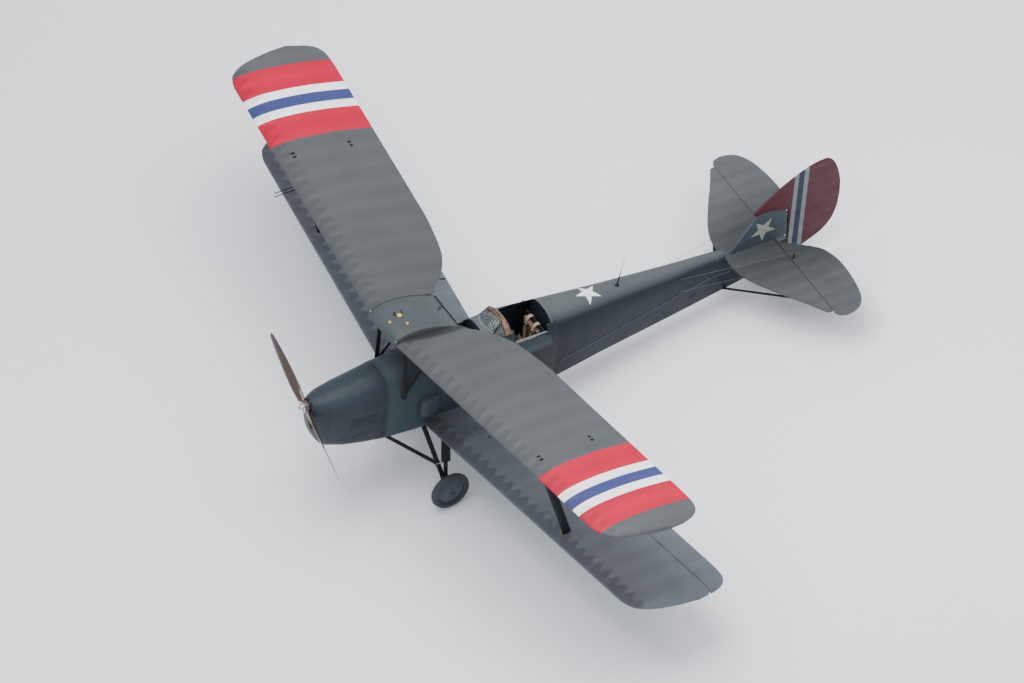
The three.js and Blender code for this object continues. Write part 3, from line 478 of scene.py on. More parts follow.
def nose_soiling_and_shade(shade, s, c, point, teeth, darkness):
    """Rows of teeth along the nose, darker between the short nose ribs: soiling and painted shade of the slack
    cloth there.
    """
    first, depth = teeth
    bay = shade.math("FRACT", shade.math("DIVIDE", s, NOSE_PITCH))
    across = shade.math("ABSOLUTE", shade.math("MULTIPLY_ADD", bay, 2.0, -1.0))
    reach = shade.math("MULTIPLY_ADD", shade.span(across, 0.28, 0.80, 1.0, 0.0), depth, first)
    wander = shade.math("MULTIPLY_ADD", shade.noise(point, 6, 2), 0.03, -0.015)
    behind = shade.minus(c, shade.plus(reach, wander))
    # Darker behind the teeth: soiling and painted shade
    soiling_and_shade = shade.span(behind, -0.030, 0.026, 1 - darkness, 1.0)
    return shade.math("MAXIMUM", soiling_and_shade, shade.span(c, 0.0, 0.06, 1.0, 0.0))


def upper_cloth(side_name, side):
    """The banded cloth of an upper wing, lighter towards its tip."""
    shade, point, s, c, off = wing_shade(f"upper_cloth_{side_name}", UPPER, side)
    base = weathered(shade, point, shade.bands(s, WING_BANDS, WING_COLOURS, 4.6), 0.06, 0.02)
    # Painted shade between the ribs, lighter towards the tip, and soiling and painted shade in teeth along the
    # nose
    light = shade.times(
        shade.span(off, 0.0, RIB_PITCH / 2, 1.05, 0.94),
        shade.span(s, 0.4, 4.4, 0.98, 1.34),
        nose_soiling_and_shade(shade, s, c, point, UPPER_TEETH, 0.18),
    )
    if side > 0:
        # A crescent of painted shadow lies beside the tank, for the tank's dark side and its shadow, on the port
        # side only
        along = shade.math("DIVIDE", c, 1.25)
        hump = shade.times(along, 4.0, shade.minus(1.0, along))
        beyond = shade.minus(s, shade.math("MULTIPLY_ADD", hump, 0.165, UPPER["root"]))
        light = shade.times(light, shade.span(beyond, -0.022, 0.030, 0.33, 1.0))
    return doped(shade, point, base, light, rib_tapes(shade, off, c, 0.0225, 0.0375, 0.006), point)


def lower_cloth(side_name, side):
    """The plain cloth of a lower wing: painted light where the upper wing shades it, and darker towards its root
    with soot, shoe marks and painted shade.
    """
    shade, point, s, c, off = wing_shade(f"lower_cloth_{side_name}", LOWER, side)
    base = weathered(shade, point, CLOTH_LOW_PAINTED_LIGHT, 0.06, 0.02)
    # Painted shade between the ribs; painted light lifting the middle of the wing that the upper wing shades,
    # taken back towards the trailing edge; soiling and painted shade in teeth along the nose; darker inboard of
    # station 0.84 and towards the root with soot, shoe marks and painted shade
    light = shade.times(
        shade.span(off, 0.0, RIB_PITCH / 2, 1.05, 0.94),
        shade.span(s, 1.2, 4.4, 1.38, 0.98),
        shade.span(c, 0.4, 1.1, 1.0, 0.82),
        nose_soiling_and_shade(shade, s, c, point, LOWER_TEETH, 0.34),
        shade.span(s, 0.84, 0.90, 0.80, 1.0),
        shade.span(s, 0.3, 2.0, 0.50, 1.0),
    )
    return doped(shade, point, base, light, rib_tapes(shade, off, c, 0.0225, 0.0375, 0.006), point)


def wing_shade(name, wing, side):
    """A material whose point is seen by the wing: station, distance aft, and distance from a rib."""
    shade = Shade(name)
    point = shade.level()
    if side < 0:
        point = shade.scaled(point, (-1, 1, 1))
    point = shade.into(point, wing_place(wing))
    s, c, _ = shade.axes(point)
    return shade, point, s, c, shade.from_rib(s, RIB_PITCH)


def tail_cloth(name):
    """The cloth of the tailplane and elevators, darker near the fuselage with soot and painted shade, and paler to
    starboard.
    """
    shade = Shade(name)
    point = shade.level()
    x, y, _ = shade.axes(point)
    off = shade.from_rib(x, TAIL["tailplane"]["pitch"])
    wander = shade.math("MULTIPLY_ADD", shade.noise(point, 4, 2), 0.3, -0.15)
    outward = shade.plus(shade.math("ABSOLUTE", x), wander)
    # Painted shade between the ribs, and soot and painted shade darkening the cloth near the fuselage
    light = shade.times(
        shade.span(off, 0, TAIL["tailplane"]["pitch"] / 2, 1.06, 0.93),
        shade.span(outward, 0.30, 0.95, 0.71, 1.23),
        shade.span(x, -0.5, 0.5, 1.14, 0.93),
    )
    tapes = rib_tapes(shade, off, y, 0.0185, 0.0325, 0.005)
    return doped(shade, point, weathered(shade, point, CLOTH, 0.07, 0.03), light, tapes, point)


def rudder_cloth(name):
    """The rudder's cloth, with upright bands."""
    shade = Shade(name)
    point = shade.level()
    x, y, z = shade.axes(point)
    base = shade.bands(shade.minus(y, RUDDER_START), RUDDER_BANDS, RUDDER_COLOURS, 1.5)
    off = shade.from_rib(z, TAIL["rudder"]["pitch"])
    # Painted shade between the ribs
    light = shade.span(off, 0, TAIL["rudder"]["pitch"] / 2, 1.06, 0.93)
    tapes = rib_tapes(shade, off, y, 0.0185, 0.0325, 0.005)
    upright = shade.node("CombineXYZ", {0: z, 1: y, 2: x}).outputs[0]
    return doped(shade, point, weathered(shade, point, base, 0.07, 0.03), light, tapes, upright)


def mix_looks():
    """Makes every finish but the cloths and files it by name."""
    for name, settings in PAINTS.items():
        LOOKS[name] = painted(name, **settings)
    for name, colour in LEATHERS.items():
        LOOKS[name] = leather(name, colour)
    for make, name in ((bare_metal, "steel"), (rubber, "tyre_rubber"), (timber, "propeller_wood"),
                       (window, "clear")):
        LOOKS[name] = make(name)


# Piece helpers
REPLACED = set()
JOIN_REACH = 2e-5
FLAT_ANGLE = 0.3
EDGE_BEVEL = 0.0015
EDGE_CREASE = 32


def placed(name, data):
    """A new object of the scene."""
    made = bpy.data.objects.new(name, data)
    bpy.context.collection.objects.link(made)
    return made


def show(name, data, material, body, node=None):
    """Puts a mesh in the scene with its material, on the body it rides, and hides the CAD node it replaces."""
    made = placed(name, data)
    data.materials.append(material)
    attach(made, body)
    if node:
        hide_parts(node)
        REPLACED.add(node)


def smooth_by(data, degrees):
    """Smooth shading with edges kept crisp above an angle."""
    shape = bmesh.new()
    shape.from_mesh(data)
    limit = math.radians(degrees)
    for face in shape.faces:
        face.smooth = True
    for edge in shape.edges:
        edge.smooth = len(edge.link_faces) == 2 and edge.calc_face_angle(0) < limit
    poured(shape, data)


def poured(shape, data):
    """Empties a working shape into a mesh."""
    shape.to_mesh(data)
    shape.free()
    return data


def piece(name, verts, faces, material, body, crease=40, place=LEVEL, node=None):
    """A mesh object from points of the level frame, or of the frame of a matrix."""
    data = bpy.data.meshes.new(name)
    data.from_pydata([place @ Vector(v) for v in verts], [], faces)
    shape = bmesh.new()
    shape.from_mesh(data)
    bmesh.ops.remove_doubles(shape, verts=shape.verts, dist=1e-5)
    bmesh.ops.recalc_face_normals(shape, faces=shape.faces)
    smooth_by(poured(shape, data), crease)
    show(name, data, material, body, node)


def cad_shape(node):
    """A CAD node's mesh with its split corners joined and its flat faces whole again."""
    source = bpy.data.objects[node]
    shape = bmesh.new()
    shape.from_mesh(source.data)
    bmesh.ops.transform(shape, matrix=source.matrix_world, verts=shape.verts)
    bmesh.ops.remove_doubles(shape, verts=shape.verts, dist=JOIN_REACH)
    flat = math.radians(FLAT_ANGLE)
    bmesh.ops.dissolve_limit(shape, angle_limit=flat, verts=shape.verts, edges=shape.edges)
    return shape


def skin(node, shape, material, crease):
    """Shows a reworked copy of a CAD node in place of it."""
    data = poured(shape, bpy.data.meshes.new(node + "_skin"))
    smooth_by(data, crease)
    show(node + "_skin", data, material, BODY_OF[node], node)


def dress(node, material):
    """Replaces a CAD node by a copy with rounded edges, smooth shading and its own finish."""
    shape = cad_shape(node)
    limit = math.radians(EDGE_CREASE)
    sharp = [e for e in shape.edges if len(e.link_faces) == 2 and e.calc_face_angle(0) > limit]
    long = [e for e in sharp if e.calc_length() > 3 * EDGE_BEVEL]
    bmesh.ops.bevel(shape, geom=long, offset=EDGE_BEVEL, segments=2, profile=0.6, affect="EDGES",
                    clamp_overlap=True)
    skin(node, shape, material, EDGE_CREASE)


# Wings
HEIGHTS = [smooth_curve([(math.sqrt(row[0]), row[side]) for row in AEROFOIL]) for side in (1, 2)]
FRONT_SHARES = [(i / 24) ** 1.7 for i in range(25)]
REAR_SHARES = [i / 6 for i in range(1, 7)]
WHOLE = len(FRONT_SHARES) + len(REAR_SHARES) - 1
SHORT = len(FRONT_SHARES) - 1
WING_CREASE = 38


def aerofoil_height(share, thick, side):
    """The height of the upper (0) or lower (1) side at a share of the chord."""
    return HEIGHTS[side](math.sqrt(min(max(share, 0), 1))) * thick


def thickness(chord):
    """The depth of the section, which thins out with the chord towards the tip."""
    return CHORD * THICKNESS * min(1, 0.12 + 0.88 * (chord / CHORD) ** 0.8)


def edges_of(outline):
    """Where the leading and the trailing edge lie, as functions of the station."""
    return [smooth_curve([(row[0], row[edge]) for row in outline]) for edge in (1, 2)]


def cloth_sag(s, c, chord):
    """How far the cloth sinks between the ribs, and between the short nose ribs."""
    bay = (s / RIB_PITCH) % 1
    nose_bay = (s / NOSE_PITCH) % 1
    main = (1 - (2 * bay - 1) ** 2) * max(0, math.sin(math.pi * min(1, c / chord))) ** 0.6
    nose = 0
    if c < NOSE_END:
        nose = (1 - (2 * nose_bay - 1) ** 2) * math.sin(math.pi * c / NOSE_END) ** 0.7
    return RIB_SAG * main * min(1, c / NOSE_END) + NOSE_SAG * nose


def wing_station(s, lead, trail, shares, matrix, root):
    """The points of a wing's upper side and of its lower side at a station, nose to tail."""
    chord = trail - lead
    thick = thickness(chord)
    loops = []
    for side, sign in ((0, -1), (1, 1)):
        loop = []
        for share in shares:
            c = lead + chord * share
            h = aerofoil_height(share, thick, side)
            at = s
            if s < SKEW_END:
                # The stations turn towards the root, which lies straight along the fuselage
                cut = (root - matrix[0][1] * c - matrix[0][2] * h) / matrix[0][0]
                at = cut + (SKEW_END - cut) * (s - root) / (SKEW_END - root)
            sag = cloth_sag(at, c - lead, chord) * min(1, thick / (CHORD * THICKNESS))
            loop.append((at, c, h + sign * min(sag, thick * 0.2)))
        loops.append(loop)
    return loops


def wing_stations(root, gap):
    """Sixteen stations a bay, closer towards the tip, with the aileron's two ends among them."""
    stations = {root}
    index = 1
    while index * CLOTH_STEP < TIP_START:
        if index * CLOTH_STEP > root + 0.01:
            stations.add(round(index * CLOTH_STEP, 5))
        index += 1
    for i in range(1, 17):
        stations.add(round(TIP_START + TIP_LENGTH * (1 - (1 - i / 16) ** 2), 5))
    if gap:
        stations -= {s for s in stations if min(abs(s - edge) for edge in gap) < 0.006}
        stations |= set(gap)
    return sorted(stations)


def wing_skin(node, wing, side, outline, gap, material):
    """A wing with sagging cloth between its ribs and, on the lower wing, room for the aileron."""
    lead_at, trail_at = edges_of(outline)
    stations = wing_stations(wing["root"], gap)
    split = AILERON["hinge"] - AILERON["nose"] - AILERON["gap"]
    verts, faces, rows = [], [], []
    for s in stations:
        lead, trail = lead_at(s), trail_at(s)
        part = min((split - lead) / (trail - lead), 0.76)
        shares = [part * share for share in FRONT_SHARES] + [part + (1 - part) * t for t in REAR_SHARES]
        row = []
        for loop in wing_station(s, lead, trail, shares, wing_place(wing), wing["root"]):
            row.append(list(range(len(verts), len(verts) + len(loop))))
            verts.extend(loop)
        rows.append(row)

    def reach(i):
        """How many strips of the profile there are between station i and the next."""
        return SHORT if gap and stations[i] >= gap[0] else WHOLE

    for i in range(len(stations) - 1):
        near, far = rows[i], rows[i + 1]
        for a, b in zip(near, far):
            for j in range(reach(i)):
                faces.append((a[j], a[j + 1], b[j + 1], b[j]))
        j = reach(i)
        faces.append((near[0][j], near[1][j], far[1][j], far[0][j]))
    walls = [(0, 0, WHOLE), (len(stations) - 1, 0, SHORT if gap else WHOLE)]
    if gap:
        walls.append((stations.index(gap[0]), SHORT, WHOLE))
    for i, first, last in walls:
        upper, lower = rows[i]
        for j in range(first, last):
            faces.append((upper[j], upper[j + 1], lower[j + 1], lower[j]))
    piece(node + "_skin", verts, faces, material, BODY_OF[node], WING_CREASE,
          LEVEL @ wing_place(wing, side), node)


def aileron_skin(name, side, material):
    """An aileron with a rounded nose, sagging cloth and its hinge gap all round."""
    lead_at, trail_at = edges_of(LOWER_OUTLINE)
    inner = AILERON["inner"] + AILERON["gap"]
    outer = AILERON["outer"] - 2 * AILERON["gap"]
    hinge, nose = AILERON["hinge"], AILERON["nose"]
    stations = [inner]
    stations += [i * CLOTH_STEP for i in range(120, 221) if inner < i * CLOTH_STEP < TIP_START]
    stations += [TIP_START + (outer - TIP_START) * (1 - (1 - i / 14) ** 2) for i in range(15)]
    verts, faces, rows = [], [], []
    for s in stations:
        lead, trail = lead_at(s), trail_at(s)
        chord = trail - lead
        sides = []
        for row, sign in ((0, -1), (1, 1)):
            line = []
            for i in range(9):
                c = mix(hinge, trail, i / 8)
                sag = cloth_sag(s, c - lead, chord) * math.sin(math.pi * i / 8) * 0.8
                line.append((s, c, aerofoil_height((c - lead) / chord, thickness(chord), row) + sign * sag))
            sides.append(line)
        upper, lower = sides
        front = []
        for i in range(1, 8):
            angle = math.pi * i / 8
            height = mix(upper[0][2], lower[0][2], (1 - math.cos(angle)) / 2)
            front.append((s, hinge - nose * math.sin(angle), height))
        loop = upper[::-1] + front + lower
        rows.append(list(range(len(verts), len(verts) + len(loop))))
        verts.extend(loop)
    for a, b in zip(rows, rows[1:]):
        for j in range(len(a)):
            k = (j + 1) % len(a)
            faces.append((a[j], a[k], b[k], b[j]))
    faces += [tuple(rows[0]), tuple(rows[-1])]
    node = f"aileron_{name}"
    piece(node + "_skin", verts, faces, material, node, WING_CREASE,
          LEVEL @ wing_place(LOWER, side), node)


# Profiles of turned parts: distance along the axis, radius
AERIAL_FOOT = ((0, 0.030), (0.008, 0.028), (0.016, 0.014), (0.030, 0.011))
TANK_STUD = ((-0.004, 0.008), (0.006, 0.008), (0.008, 0.005))
STRUT_PIN = ((0, 0.018), (0.008, 0.017), (0.010, 0.010), (0.018, 0.009))
SCREEN_STUD = ((0, 0.012), (0.006, 0.012), (0.009, 0.007))
RIVET = ((0, 0.0035), (0.004, 0.003))
DIAL_SCREW = ((0, 0.0035), (0.003, 0.0032))
EYELET = ((0, 0.0052), (0.003, 0.005), (0.0035, 0.003))
HARNESS_BUCKLE = ((0, 0.028), (0.008, 0.030), (0.014, 0.026), (0.017, 0.012))
STICK_FOOT = ((0, 0.045), (0.006, 0.045), (0.012, 0.026), (0.040, 0.022))
STICK_GRIP = ((0, 0.014), (0.02, 0.018), (0.06, 0.016), (0.10, 0.018), (0.118, 0.012))
THROTTLE_GRIP = ((0, 0.010), (0.012, 0.016), (0.024, 0.010))
LATCH = ((0, 0.016), (0.005, 0.016), (0.007, 0.008), (0.014, 0.007))
COWL_BUTTON = ((-0.002, 0.011), (0.003, 0.011), (0.005, 0.007))
HUB_BOLT = ((0, 0.0070), (0.006, 0.0070), (0.0075, 0.0055))
SIDE_PATCH = ((-0.002, 0.052), (0.0008, 0.052), (0.0014, 0.049))
CABLE_LEAD = ((0, 0.013), (0.005, 0.013), (0.007, 0.007), (0.011, 0.006))
HORN_PIN = ((0, 0.006), (0.014, 0.006))
CUFF_PIN = ((0, 0.010), (0.009, 0.010), (0.011, 0.006))
DISC_SCREW = ((0, 0.005), (0.0055, 0.005), (0.007, 0.003))
VALVE = ((0, 0.012), (0.013, 0.011), (0.014, 0.0045), (0.030, 0.004))
AXLE_NUT = ((0, 0.029), (0.014, 0.029), (0.017, 0.024), (0.0175, 0.016), (0.024, 0.014))
# The same with shares of a size in place of the radius
TANK_CAP = ((0, 1), (0.008, 1), (0.010, 0.86), (0.018, 0.82), (0.021, 0.70), (0.024, 0.25))
CAP_RING = ((0, 1.35), (0.005, 1.32), (0.0055, 1.2))
DIAL_RIM = ((0, 1), (0.009, 1), (0.0105, 0.92), (0.0106, 0.86), (0.006, 0.84))
DIAL_FACE = ((0, 0.84), (0.001, 0.835))
AXLE_BOLT = ((0, 0.8), (0.012, 0.8), (0.015, 0.5))


def sized(profile, size):
    return [(along, size * share) for along, share in profile]


# Small parts
PAINT_LIFT = 0.0008
STAR_WAIST = 0.40
HULL_MIDDLE = -0.25


def ahead_of(points, i):
    """The direction of a line at one of its points."""
    return points[min(i + 1, len(points) - 1)] - points[max(i - 1, 0)]


def compass_point(degrees):
    """A unit vector square to the thrust line, turned from straight up towards port."""
    angle = math.radians(degrees)
    return Vector((math.sin(angle), 0, math.cos(angle)))


def spokes(direction, count):
    """An axis, and unit vectors square to it all the way round."""
    axis = Vector(direction).normalized()
    side = axis.orthogonal().normalized()
    over = axis.cross(side)
    angles = [2 * math.pi * k / count for k in range(count)]
    return axis, [side * math.cos(a) + over * math.sin(a) for a in angles]


class Parts:
    """Small closed bodies gathered into one piece."""

    def __init__(self):
        self.verts = []
        self.faces = []

    def add(self, verts, faces):
        first = len(self.verts)
        self.verts.extend(Vector(v) for v in verts)
        self.faces.extend(tuple(first + i for i in face) for face in faces)

    def rings(self, rings):
        """Closed loops of equal count joined into a body with flat ends."""
        count = len(rings[0])
        verts = [v for ring in rings for v in ring]
        faces = []
        for a in range(0, len(verts) - count, count):
            b = a + count
            for i in range(count):
                j = (i + 1) % count
                faces.append((a + i, a + j, b + j, b + i))
        faces.append(tuple(range(count))[::-1])
        faces.append(tuple(range(len(verts) - count, len(verts))))
        self.add(verts, faces)

    def bar(self, points, radius, sides=8, flat=1.0, up=UP):
        """A bar along points. Radius is one number or one for each point; flat squashes it along up."""
        points = [Vector(p) for p in points]
        radii = radius if isinstance(radius, list) else [radius] * len(points)
        rings = []
        for i, point in enumerate(points):
            ahead = ahead_of(points, i).normalized()
            side = ahead.cross(Vector(up))
            if side.length < 1e-3:
                side = ahead.cross(Vector(PORT))
            side.normalize()
            over = side.cross(ahead)
            ring = []
            for k in range(sides):
                angle = 2 * math.pi * k / sides
                off = side * math.cos(angle) + over * math.sin(angle) * flat
                ring.append(point + off * radii[i])
            rings.append(ring)
        self.rings(rings)

    def ribbon(self, points, width, across, thick=0.0016):
        """A flat strap along points; across is the direction of its width."""
        points = [Vector(p) for p in points]
        across = Vector(across).normalized() * width / 2
        rings = []
        for i, point in enumerate(points):
            over = ahead_of(points, i).cross(across).normalized() * thick / 2
            rings.append([point - across - over, point + across - over, point + across + over,
                          point - across + over])
        self.rings(rings)

    def turned(self, start, direction, profile, sides=20):
        """A body of revolution. The profile lists distance along the axis and radius."""
        axis, out = spokes(direction, sides)
        self.rings([[Vector(start) + axis * along + spoke * radius for spoke in out]
                    for along, radius in profile])

    def hoop(self, centre, direction, profile, sides=32):
        """A ring turned about an axis. The profile lists distance along the axis and radius, right round."""
        axis, out = spokes(direction, sides)
        count = len(profile)
        verts, faces = [], []
        for k, spoke in enumerate(out):
            verts.extend(Vector(centre) + axis * along + spoke * radius for along, radius in profile)
            a, b = k * count, (k + 1) % sides * count
            for i in range(count):
                j = (i + 1) % count
                faces.append((a + i, a + j, b + j, b + i))
        self.add(verts, faces)

    def block(self, centre, size, turn=None):
        """A block with its corners taken off."""
        turn = turn or Matrix.Identity(3)
        cut = min(size) * 0.18
        rings = []
        for z, inset in ((-1, cut), (-1, 0), (1, 0), (1, cut)):
            ring = []
            high = size[2] / 2 - (0 if inset else cut)
            for x, y in ((1, 1), (-1, 1), (-1, -1), (1, -1)):
                for swap in ((0, 1) if x * y > 0 else (1, 0)):
                    dx = size[0] / 2 - inset - (cut if swap == 0 else 0)
                    dy = size[1] / 2 - inset - (cut if swap == 1 else 0)
                    ring.append(Vector(centre) + turn @ Vector((x * dx, y * dy, z * high)))
            rings.append(ring)
        self.rings(rings)

    def build(self, name, look, slot=None, body="airframe", crease=40):
        piece(name, self.verts, self.faces, LOOKS[look], body, crease)


def arc(points, steps):
    """Points of a smooth curve through the given ones."""
    points = [Vector(p) for p in points]
    made = []
    for i in range(len(points) - 1):
        before = points[max(i - 1, 0)]
        after = points[min(i + 2, len(points) - 1)]
        a, b = points[i], points[i + 1]
        for k in range(steps):
            t = k / steps
            made.append(0.5 * ((2 * a) + (b - before) * t + (2 * before - 5 * a + 4 * b - after) * t * t
                               + (3 * a - before - 3 * b + after) * t ** 3))
    made.append(points[-1])
    return made


class Surface:
    """The surface of CAD nodes in the level frame, to lay small parts on."""

    def __init__(self, *nodes):
        merged = bmesh.new()
        for node in nodes:
            data = poured(cad_shape(node), bpy.data.meshes.new("probe"))
            merged.from_mesh(data)
            bpy.data.meshes.remove(data)
        bmesh.ops.transform(merged, matrix=LEVEL_INVERSE, verts=merged.verts)
        bmesh.ops.triangulate(merged, faces=merged.faces)
        self.tree = BVHTree.FromBMesh(merged)
        merged.free()

    def hit(self, start, direction, lift=0.0):
        """Where a ray meets the surface, lifted off it, and the surface's normal towards the ray."""
        direction = Vector(direction).normalized()
        place, normal, _, _ = self.tree.ray_cast(Vector(start), direction)
        if place is None:
            return None, None
        if normal.dot(direction) > 0:
            normal = -normal
        return place + normal * lift, normal

    def deck(self, x, y, lift=0.0):
        return self.hit((x, y, 2), DOWN, lift)[0]

    def side(self, y, z, side, lift=0.0):
        return self.hit((2 * side, y, z), (-side, 0, 0), lift)[0]

    def girdle(self, y):
        """Points right round a hull at one distance aft."""
        points = []
        for angle in range(0, 361, 6):
            out = compass_point(angle)
            place, _ = self.hit(Vector((0, y, HULL_MIDDLE)) + out * 2, -out, PAINT_LIFT)
            if place is not None:
                points.append(place)
        return points


def star(name, centre, radius, start_of, direction, surface, look):
    """A five-pointed star painted on a surface. start_of turns an outline point into a ray's start."""
    outline = []
    for i in range(10):
        size = radius if i % 2 == 0 else radius * STAR_WAIST
        angle = math.radians(180 + 36 * i)
        outline.append((centre[0] + size * math.sin(angle), centre[1] + size * math.cos(angle)))
    shape = bmesh.new()
    ring = [shape.verts.new((u, v, 0)) for u, v in outline]
    u, v = [sum(values) / len(outline) for values in zip(*outline)]
    middle = shape.verts.new((u, v, 0))
    for a, b in zip(ring, ring[1:] + ring[:1]):
        shape.faces.new((a, b, middle))
    bmesh.ops.subdivide_edges(shape, edges=shape.edges, cuts=5, use_grid_fill=True)
    bmesh.ops.triangulate(shape, faces=shape.faces)
    shape.verts.index_update()
    verts, missing = [], set()
    for vert in shape.verts:
        start = Vector(start_of(vert.co.x, vert.co.y))
        place, _ = surface.hit(start, direction, PAINT_LIFT)
        if place is None:
            missing.add(vert.index)
        verts.append(start if place is None else place)
    faces = [tuple(v.index for v in face.verts) for face in shape.faces]
    faces = [face for face in faces if not missing.intersection(face)]
    shape.free()
    piece(name, verts, faces, LOOKS[look], "airframe", 60)


# Tail
TAIL = {  # the axis that the ribs are spaced along and their pitch, the axis of thickness and its middle
    "tailplane": {"along": 0, "pitch": 0.205, "flat": 2, "middle": -0.0227},
    "elevators": {"along": 0, "pitch": 0.205, "flat": 2, "middle": -0.0227},
    "fin": {"along": 2, "pitch": 0.16, "flat": 0, "middle": 0},
    "rudder": {"along": 2, "pitch": 0.20, "flat": 0, "middle": 0},
}
TAIL_SAG = 0.17
TAIL_STEP = 0.020
TAIL_CREASE = 34
TAIL_EDGES = {  # corners of the curved edges, in the two axes that the surface spreads along
    "tailplane": (
        (0.060, 5.815), (0.250, 5.825), (0.386, 5.862), (0.560, 5.945), (0.730, 6.048), (0.900, 6.160),
        (1.037, 6.258), (1.200, 6.365), (1.345, 6.455),
    ),
    "elevators": (
        (1.452, 6.560), (1.478, 6.650), (1.462, 6.760), (1.410, 6.860), (1.310, 6.935), (1.160, 6.985),
        (0.957, 7.018), (0.760, 7.030), (0.600, 7.018), (0.411, 6.954), (0.300, 6.850),
    ),
    "rudder": (
        (6.204, 0.540), (6.300, 0.616), (6.405, 0.696), (6.560, 0.808), (6.715, 0.902), (6.860, 0.970),
        (6.990, 1.012), (7.090, 1.028), (7.170, 1.022), (7.230, 0.982), (7.300, 0.860), (7.352, 0.700),
        (7.376, 0.560), (7.382, 0.380), (7.366, 0.190), (7.322, 0.040), (7.240, -0.086), (7.140, -0.166),
        (7.000, -0.236), (6.890, -0.290),
    ),
}
TAIL_MIDDLES = {2: (0.7, 6.5), 0: (6.9, 0.3)}  # a point inside the surface, for each flat axis
EDGE_REACH = 0.030


def rounded(corners, inside):
    """A function that swells the straight runs between corners out to a smooth curve."""
    corners = [Vector(c) for c in corners]
    inside = Vector(inside)
    bends = [(b - a).angle(c - b) for a, b, c in zip(corners, corners[1:], corners[2:])]
    bends = [0.0] + bends + [0.0]

    def moved(point):
        best = None
        for i in range(len(corners) - 1):
            run = corners[i + 1] - corners[i]
            share = (point - corners[i]).dot(run) / run.length_squared
            away = (point - corners[i].lerp(corners[i + 1], share)).length
            if 0 <= share <= 1 and away < EDGE_REACH and (best is None or away < best[0]):
                best = (away, i, share, run)
        if best is None:
            return point
        away, i, share, run = best
        out = Vector((run.y, -run.x)).normalized()
        if out.dot(inside - corners[i]) > 0:
            out = -out
        swell = run.length * mix(bends[i], bends[i + 1], share) / 2 * share * (1 - share)
        return point + out * swell * (1 - away / EDGE_REACH)

    return moved


def tail_surface(node, material):
    """A tail surface whose cloth sinks between its ribs."""
    along, pitch, flat, middle = TAIL[node].values()
    shape = cad_shape(node)
    bmesh.ops.transform(shape, matrix=LEVEL_INVERSE, verts=shape.verts)
    spread = [[v.co[axis] for v in shape.verts] for axis in range(3)]
    for axis, step in ((along, pitch / 10), (1, TAIL_STEP)):
        normal = Vector([1 if i == axis else 0 for i in range(3)])
        place = math.ceil(min(spread[axis]) / step) * step
        while place < max(spread[axis]):
            parts = shape.verts[:] + shape.edges[:] + shape.faces[:]
            bmesh.ops.bisect_plane(shape, geom=parts, plane_co=normal * place, plane_no=normal, dist=1e-4)
            place += step
    edge = rounded(TAIL_EDGES[node], TAIL_MIDDLES[flat]) if node in TAIL_EDGES else None
    for vert in shape.verts:
        if edge and flat == 2:
            moved = edge(Vector((abs(vert.co.x), vert.co.y)))
            vert.co = (math.copysign(moved.x, vert.co.x), moved.y, vert.co.z)
        elif edge:
            vert.co = (vert.co.x, *edge(Vector((vert.co.y, vert.co.z))))
        bay = (vert.co[along] / pitch) % 1
        between = 1 - (2 * bay - 1) ** 2
        vert.co[flat] = middle + (vert.co[flat] - middle) * (1 - TAIL_SAG * between)
    bmesh.ops.transform(shape, matrix=LEVEL, verts=shape.verts)
    skin(node, shape, material, TAIL_CREASE)


def tail_details():
    """Stars, control horns and their cables, the fin post and the aerial."""
    hull = Surface("fuselage_rear", "fuselage_front")
    star("spine_star", (0, 3.935), 0.165, lambda u, v: (u, v, 2), DOWN, hull, "star_white")
    fin = Surface("fin")
    for name, side in SIDES.items():
        star(f"fin_star_{name}", (6.337, 0.221), 0.182, lambda u, v: (2 * side, u, v), (-side, 0, 0), fin,
             "star_pale")
    horns, cables = Parts(), Parts()
    for side in SIDES.values():
        for up, exit_z in ((1, 0.02), (-1, -0.16)):
            root = Vector((0.40 * side, 6.545, TAIL["elevators"]["middle"] + 0.018 * up))
            tip = root + Vector((0, 0.012, 0.085 * up))
            horns.bar([root, root.lerp(tip, 0.5), tip], [0.016, 0.010, 0.005], 8, 0.25, PORT)
            cables.bar([hull.side(5.15, exit_z, side, 0.004), tip], 0.0018, 6)
    horns.build("elevator_horns", "black", None, "elevators")
    cables.build("elevator_cables", "wire")
    horns, cables = Parts(), Parts()
    for side in SIDES.values():
        tip = Vector((0.115 * side, 6.725, -0.190))
        horns.bar([(0.014 * side, 6.745, -0.190), tip], [0.014, 0.006], 8, 0.3)
        cables.bar([hull.side(5.60, -0.150, side, 0.005), tip + Vector((0.004 * side, -0.01, 0))], 0.0022, 6)
    horns.build("rudder_horn", "black", None, "rudder")
    post = Parts()
    post.bar([(0, 6.704, -0.200), (0, 6.690, 0.010), (0, 6.684, 0.105), (0, 6.667, 0.379)],
             [0.0052, 0.0052, 0.0060, 0.0050], 12)
    post.build("fin_post", "black", "hull_paint")
    cables.build("rudder_cables", "wire")
    aerial = Parts()
    foot = hull.deck(0.02, 4.33)
    aerial.turned(foot - Vector((0, 0, 0.004)), UP, AERIAL_FOOT)
    stem = foot + Vector((0, 0, 0.02))
    knee = stem + Vector((0, 0.03, 0.17))
    aerial.bar([stem, knee], [0.0105, 0.006])
    aerial.bar([knee, stem + Vector((0, 0.09, 0.50))], [0.0032, 0.0014], 6)
    aerial.build("aerial", "black")


# Centre section
TANK_CAPS = ((-0.02, 1.31, 0.031), (0.01, 1.165, 0.018), (0.135, 1.325, 0.018))  # x, y, radius
TANK_VENTS = ((-0.020, 1.335, 0.072), (-0.052, 1.262, 0.046))  # x, y, height
PIPE = 0.0075


